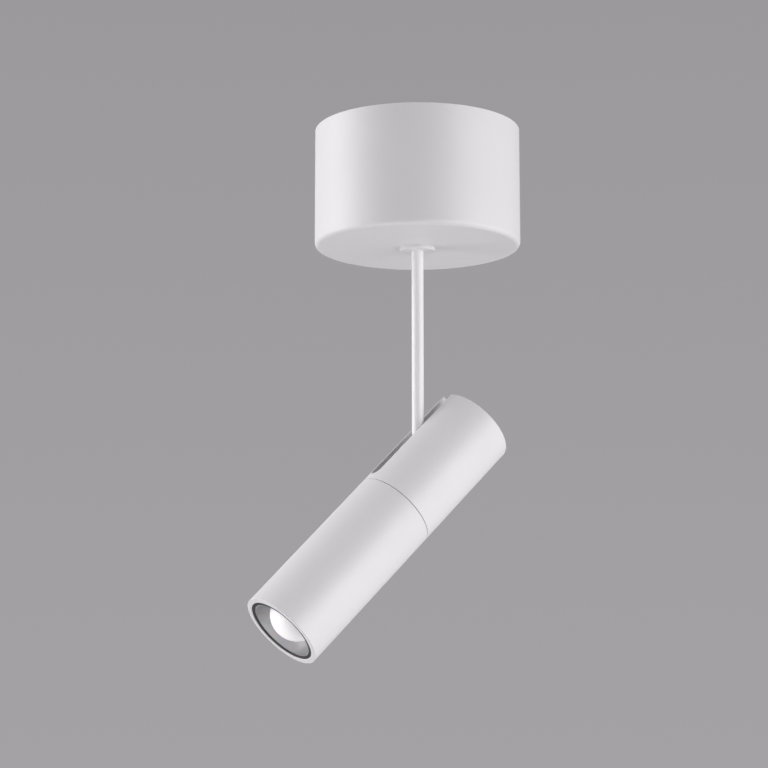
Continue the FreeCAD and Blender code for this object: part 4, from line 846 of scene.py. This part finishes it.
@dataclass
class DriverBoard:
    """The LED driver's circuit board with its components, which hang from it."""

    node: str = "driver_board"
    middle_y: float = 23.0
    board_top: float = -7.0
    board_thickness: float = 1.6
    board_edge: float = 0.1
    board_squareness: float = 60.0
    half_length: float = 29.15
    half_width: float = 10.1
    lowest: float = -19.5
    transformer: tuple[Brick, ...] = (
        Brick("transformer_core", "black_plastic", -1.0, 0.0, 8.0, 3.6, 0.0, 0.0, 0.4, 24.0),
        Brick("transformer_winding", "brass", -1.0, 0.0, 5.2, 7.1, 1.6, 1.6, 1.2, 5.0),
        Brick("bobbin_flange_front", "white_plastic", -1.0, -7.5, 6.2, 0.5, 0.6, 0.02, 0.2, 30.0),
        Brick("bobbin_flange_back", "white_plastic", -1.0, 7.5, 6.2, 0.5, 0.6, 0.02, 0.2, 30.0),
    )
    capacitor: Capacitor = Capacitor()
    film_capacitor: Brick = Brick(
        "film_capacitor", "white_plastic", -18.5, 0.0, 5.0, 2.6, 2.9, 0.02, 0.6, 10.0)
    choke: Choke = Choke()

    @property
    def under(self) -> float:
        """Height of the board's underside."""
        return self.board_top - self.board_thickness

    def build(self, owner: SubAssembly) -> None:
        """Makes the board and its components.

        Args:
            owner: The sub-assembly that the board rides with.
        """
        owner.put(block("driver_circuit_board", self.half_length, self.half_width, self.under,
                        self.board_top, self.board_edge, self._at(0), self.board_squareness),
                  "board_green", self.node)
        for brick in self.transformer:
            self._brick(owner, brick)
        self._capacitor(owner)
        self._brick(owner, self.film_capacitor)
        self._choke(owner)

    def _at(self, x: float, y: float = 0.0) -> Matrix:
        """A place on the board, from the board's middle."""
        return Matrix.Translation(Vector((x, self.middle_y + y, 0)) * MM)

    def _brick(self, owner: SubAssembly, brick: Brick) -> None:
        """Makes one blocky component.

        Args:
            owner: The sub-assembly that the board rides with.
            brick: The component.
        """
        owner.put(block(brick.name, brick.half_x, brick.half_y, self.lowest + brick.above_lowest,
                        self.under - brick.below_board, brick.edge, self._at(brick.x, brick.y),
                        brick.squareness), brick.slot, self.node)

    def _capacitor(self, owner: SubAssembly) -> None:
        """Makes the capacitor's sleeve and can.

        Args:
            owner: The sub-assembly that the board rides with.
        """
        part, place = self.capacitor, self._at(self.capacitor.x)
        owner.put(turned("capacitor_sleeve", part.sleeve(self.lowest, self.under), place, sides=part.sides),
                  "black_plastic", self.node)
        owner.put(turned("capacitor_can", part.can(self.lowest, self.under), place, ring=False,
                         sides=part.sides), "raw_aluminium", self.node)

    def _choke(self, owner: SubAssembly) -> None:
        """Makes the choke's core and winding.

        Args:
            owner: The sub-assembly that the board rides with.
        """
        part, place = self.choke, self._at(self.choke.x, self.choke.y)
        owner.put(turned("choke_core", part.core(self.under), place, ring=False, sides=part.sides),
                  "black_plastic", self.node)
        low = self.under - (part.height - part.flange - part.coil_gap)
        high = self.under - (part.flange + part.coil_gap)
        owner.put(coiled_wire("choke_winding", part.coil_radius, part.coil_pitch, part.wire_radius, low, high,
                              0.0, place, part.wire_steps, part.wire_sides), "brass", self.node)


@dataclass
class Canopy(SubAssembly):
    """The round canopy with its plate, swivel bush and LED driver."""

    def build(self) -> None:
        """Builds the driver's board."""
        DriverBoard().build(self)


@dataclass
class Rod(SubAssembly):
    """The thin rod that turns in the canopy, with its collar and its lead."""

    rod_radius: float = 3.0
    collar_radius: float = 9.0
    collar_top: float = -61.01
    collar_bottom: float = -62.8
    bore_edge_above: float = 0.05
    rim_edge_above: float = 0.1
    rim_edge_below: float = 0.45
    bore_edge_below: float = 0.2
    lead_low: float = -160.1
    lead_high: float = -40.45

    def build(self) -> None:
        """Builds the collar and the lead."""
        self.put(turned("collar", [
            (self.rod_radius, self.collar_top, self.bore_edge_above),
            (self.collar_radius, self.collar_top, self.rim_edge_above),
            (self.collar_radius, self.collar_bottom, self.rim_edge_below),
            (self.rod_radius, self.collar_bottom, self.bore_edge_below)]), "white_coat", "rod_collar")
        Lead("rod_wires", "rod_lead", self.lead_low, self.lead_high, UNMOVED).build(self)


@dataclass
class Head(SubAssembly):
    """The tilting head with its hinge, heat sink, LED board and optic."""

    lead_reach: float = 11.0
    lead_low: float = -87.4
    lead_high: float = -9.2
    board_front: float = -89.0
    emitter_radius: float = 6.5
    dam_wall: float = 0.9
    dam_height: float = 0.75
    dam_foot_edge: float = 0.05
    dam_top_edge: float = 0.3
    dam_sides: int = 96

    def build(self) -> None:
        """Builds the lead and the dam round the emitter, both in the head's own frame."""
        beside = HEAD_PLACE @ Matrix.Translation(Vector((self.lead_reach * MM, 0, 0)))
        Lead("head_wires", "head_lead", self.lead_low, self.lead_high, beside).build(self)
        inner, outer = self.emitter_radius, self.emitter_radius + self.dam_wall
        foot, top = self.board_front, self.board_front - self.dam_height
        self.put(turned("emitter_dam", [
            (inner, foot, self.dam_foot_edge), (inner, top, self.dam_top_edge),
            (outer, top, self.dam_top_edge), (outer, foot, self.dam_foot_edge)],
            HEAD_PLACE, sides=self.dam_sides), "white_plastic")


def main() -> None:
    """Builds the studio and the light's sub-assemblies in order."""
    logging.basicConfig(level=logging.INFO, format="%(message)s")
    bpy.context.scene.view_settings.view_transform = "Standard"
    Studio().build()
    materials = {slot: finish.material() for slot, finish in FINISHES.items()}
    # The rod's tube takes the lighter copy of the white coat: painted light.
    rod_painted_light_finish = {"rod_tube": "rod_painted_light_coat"}
    for sub_assembly in (Canopy("canopy", materials), Rod("rod", materials, rod_painted_light_finish),
                         Head("head", materials)):
        sub_assembly.dress()
        sub_assembly.build()


if __name__ == "__main__":
    main()
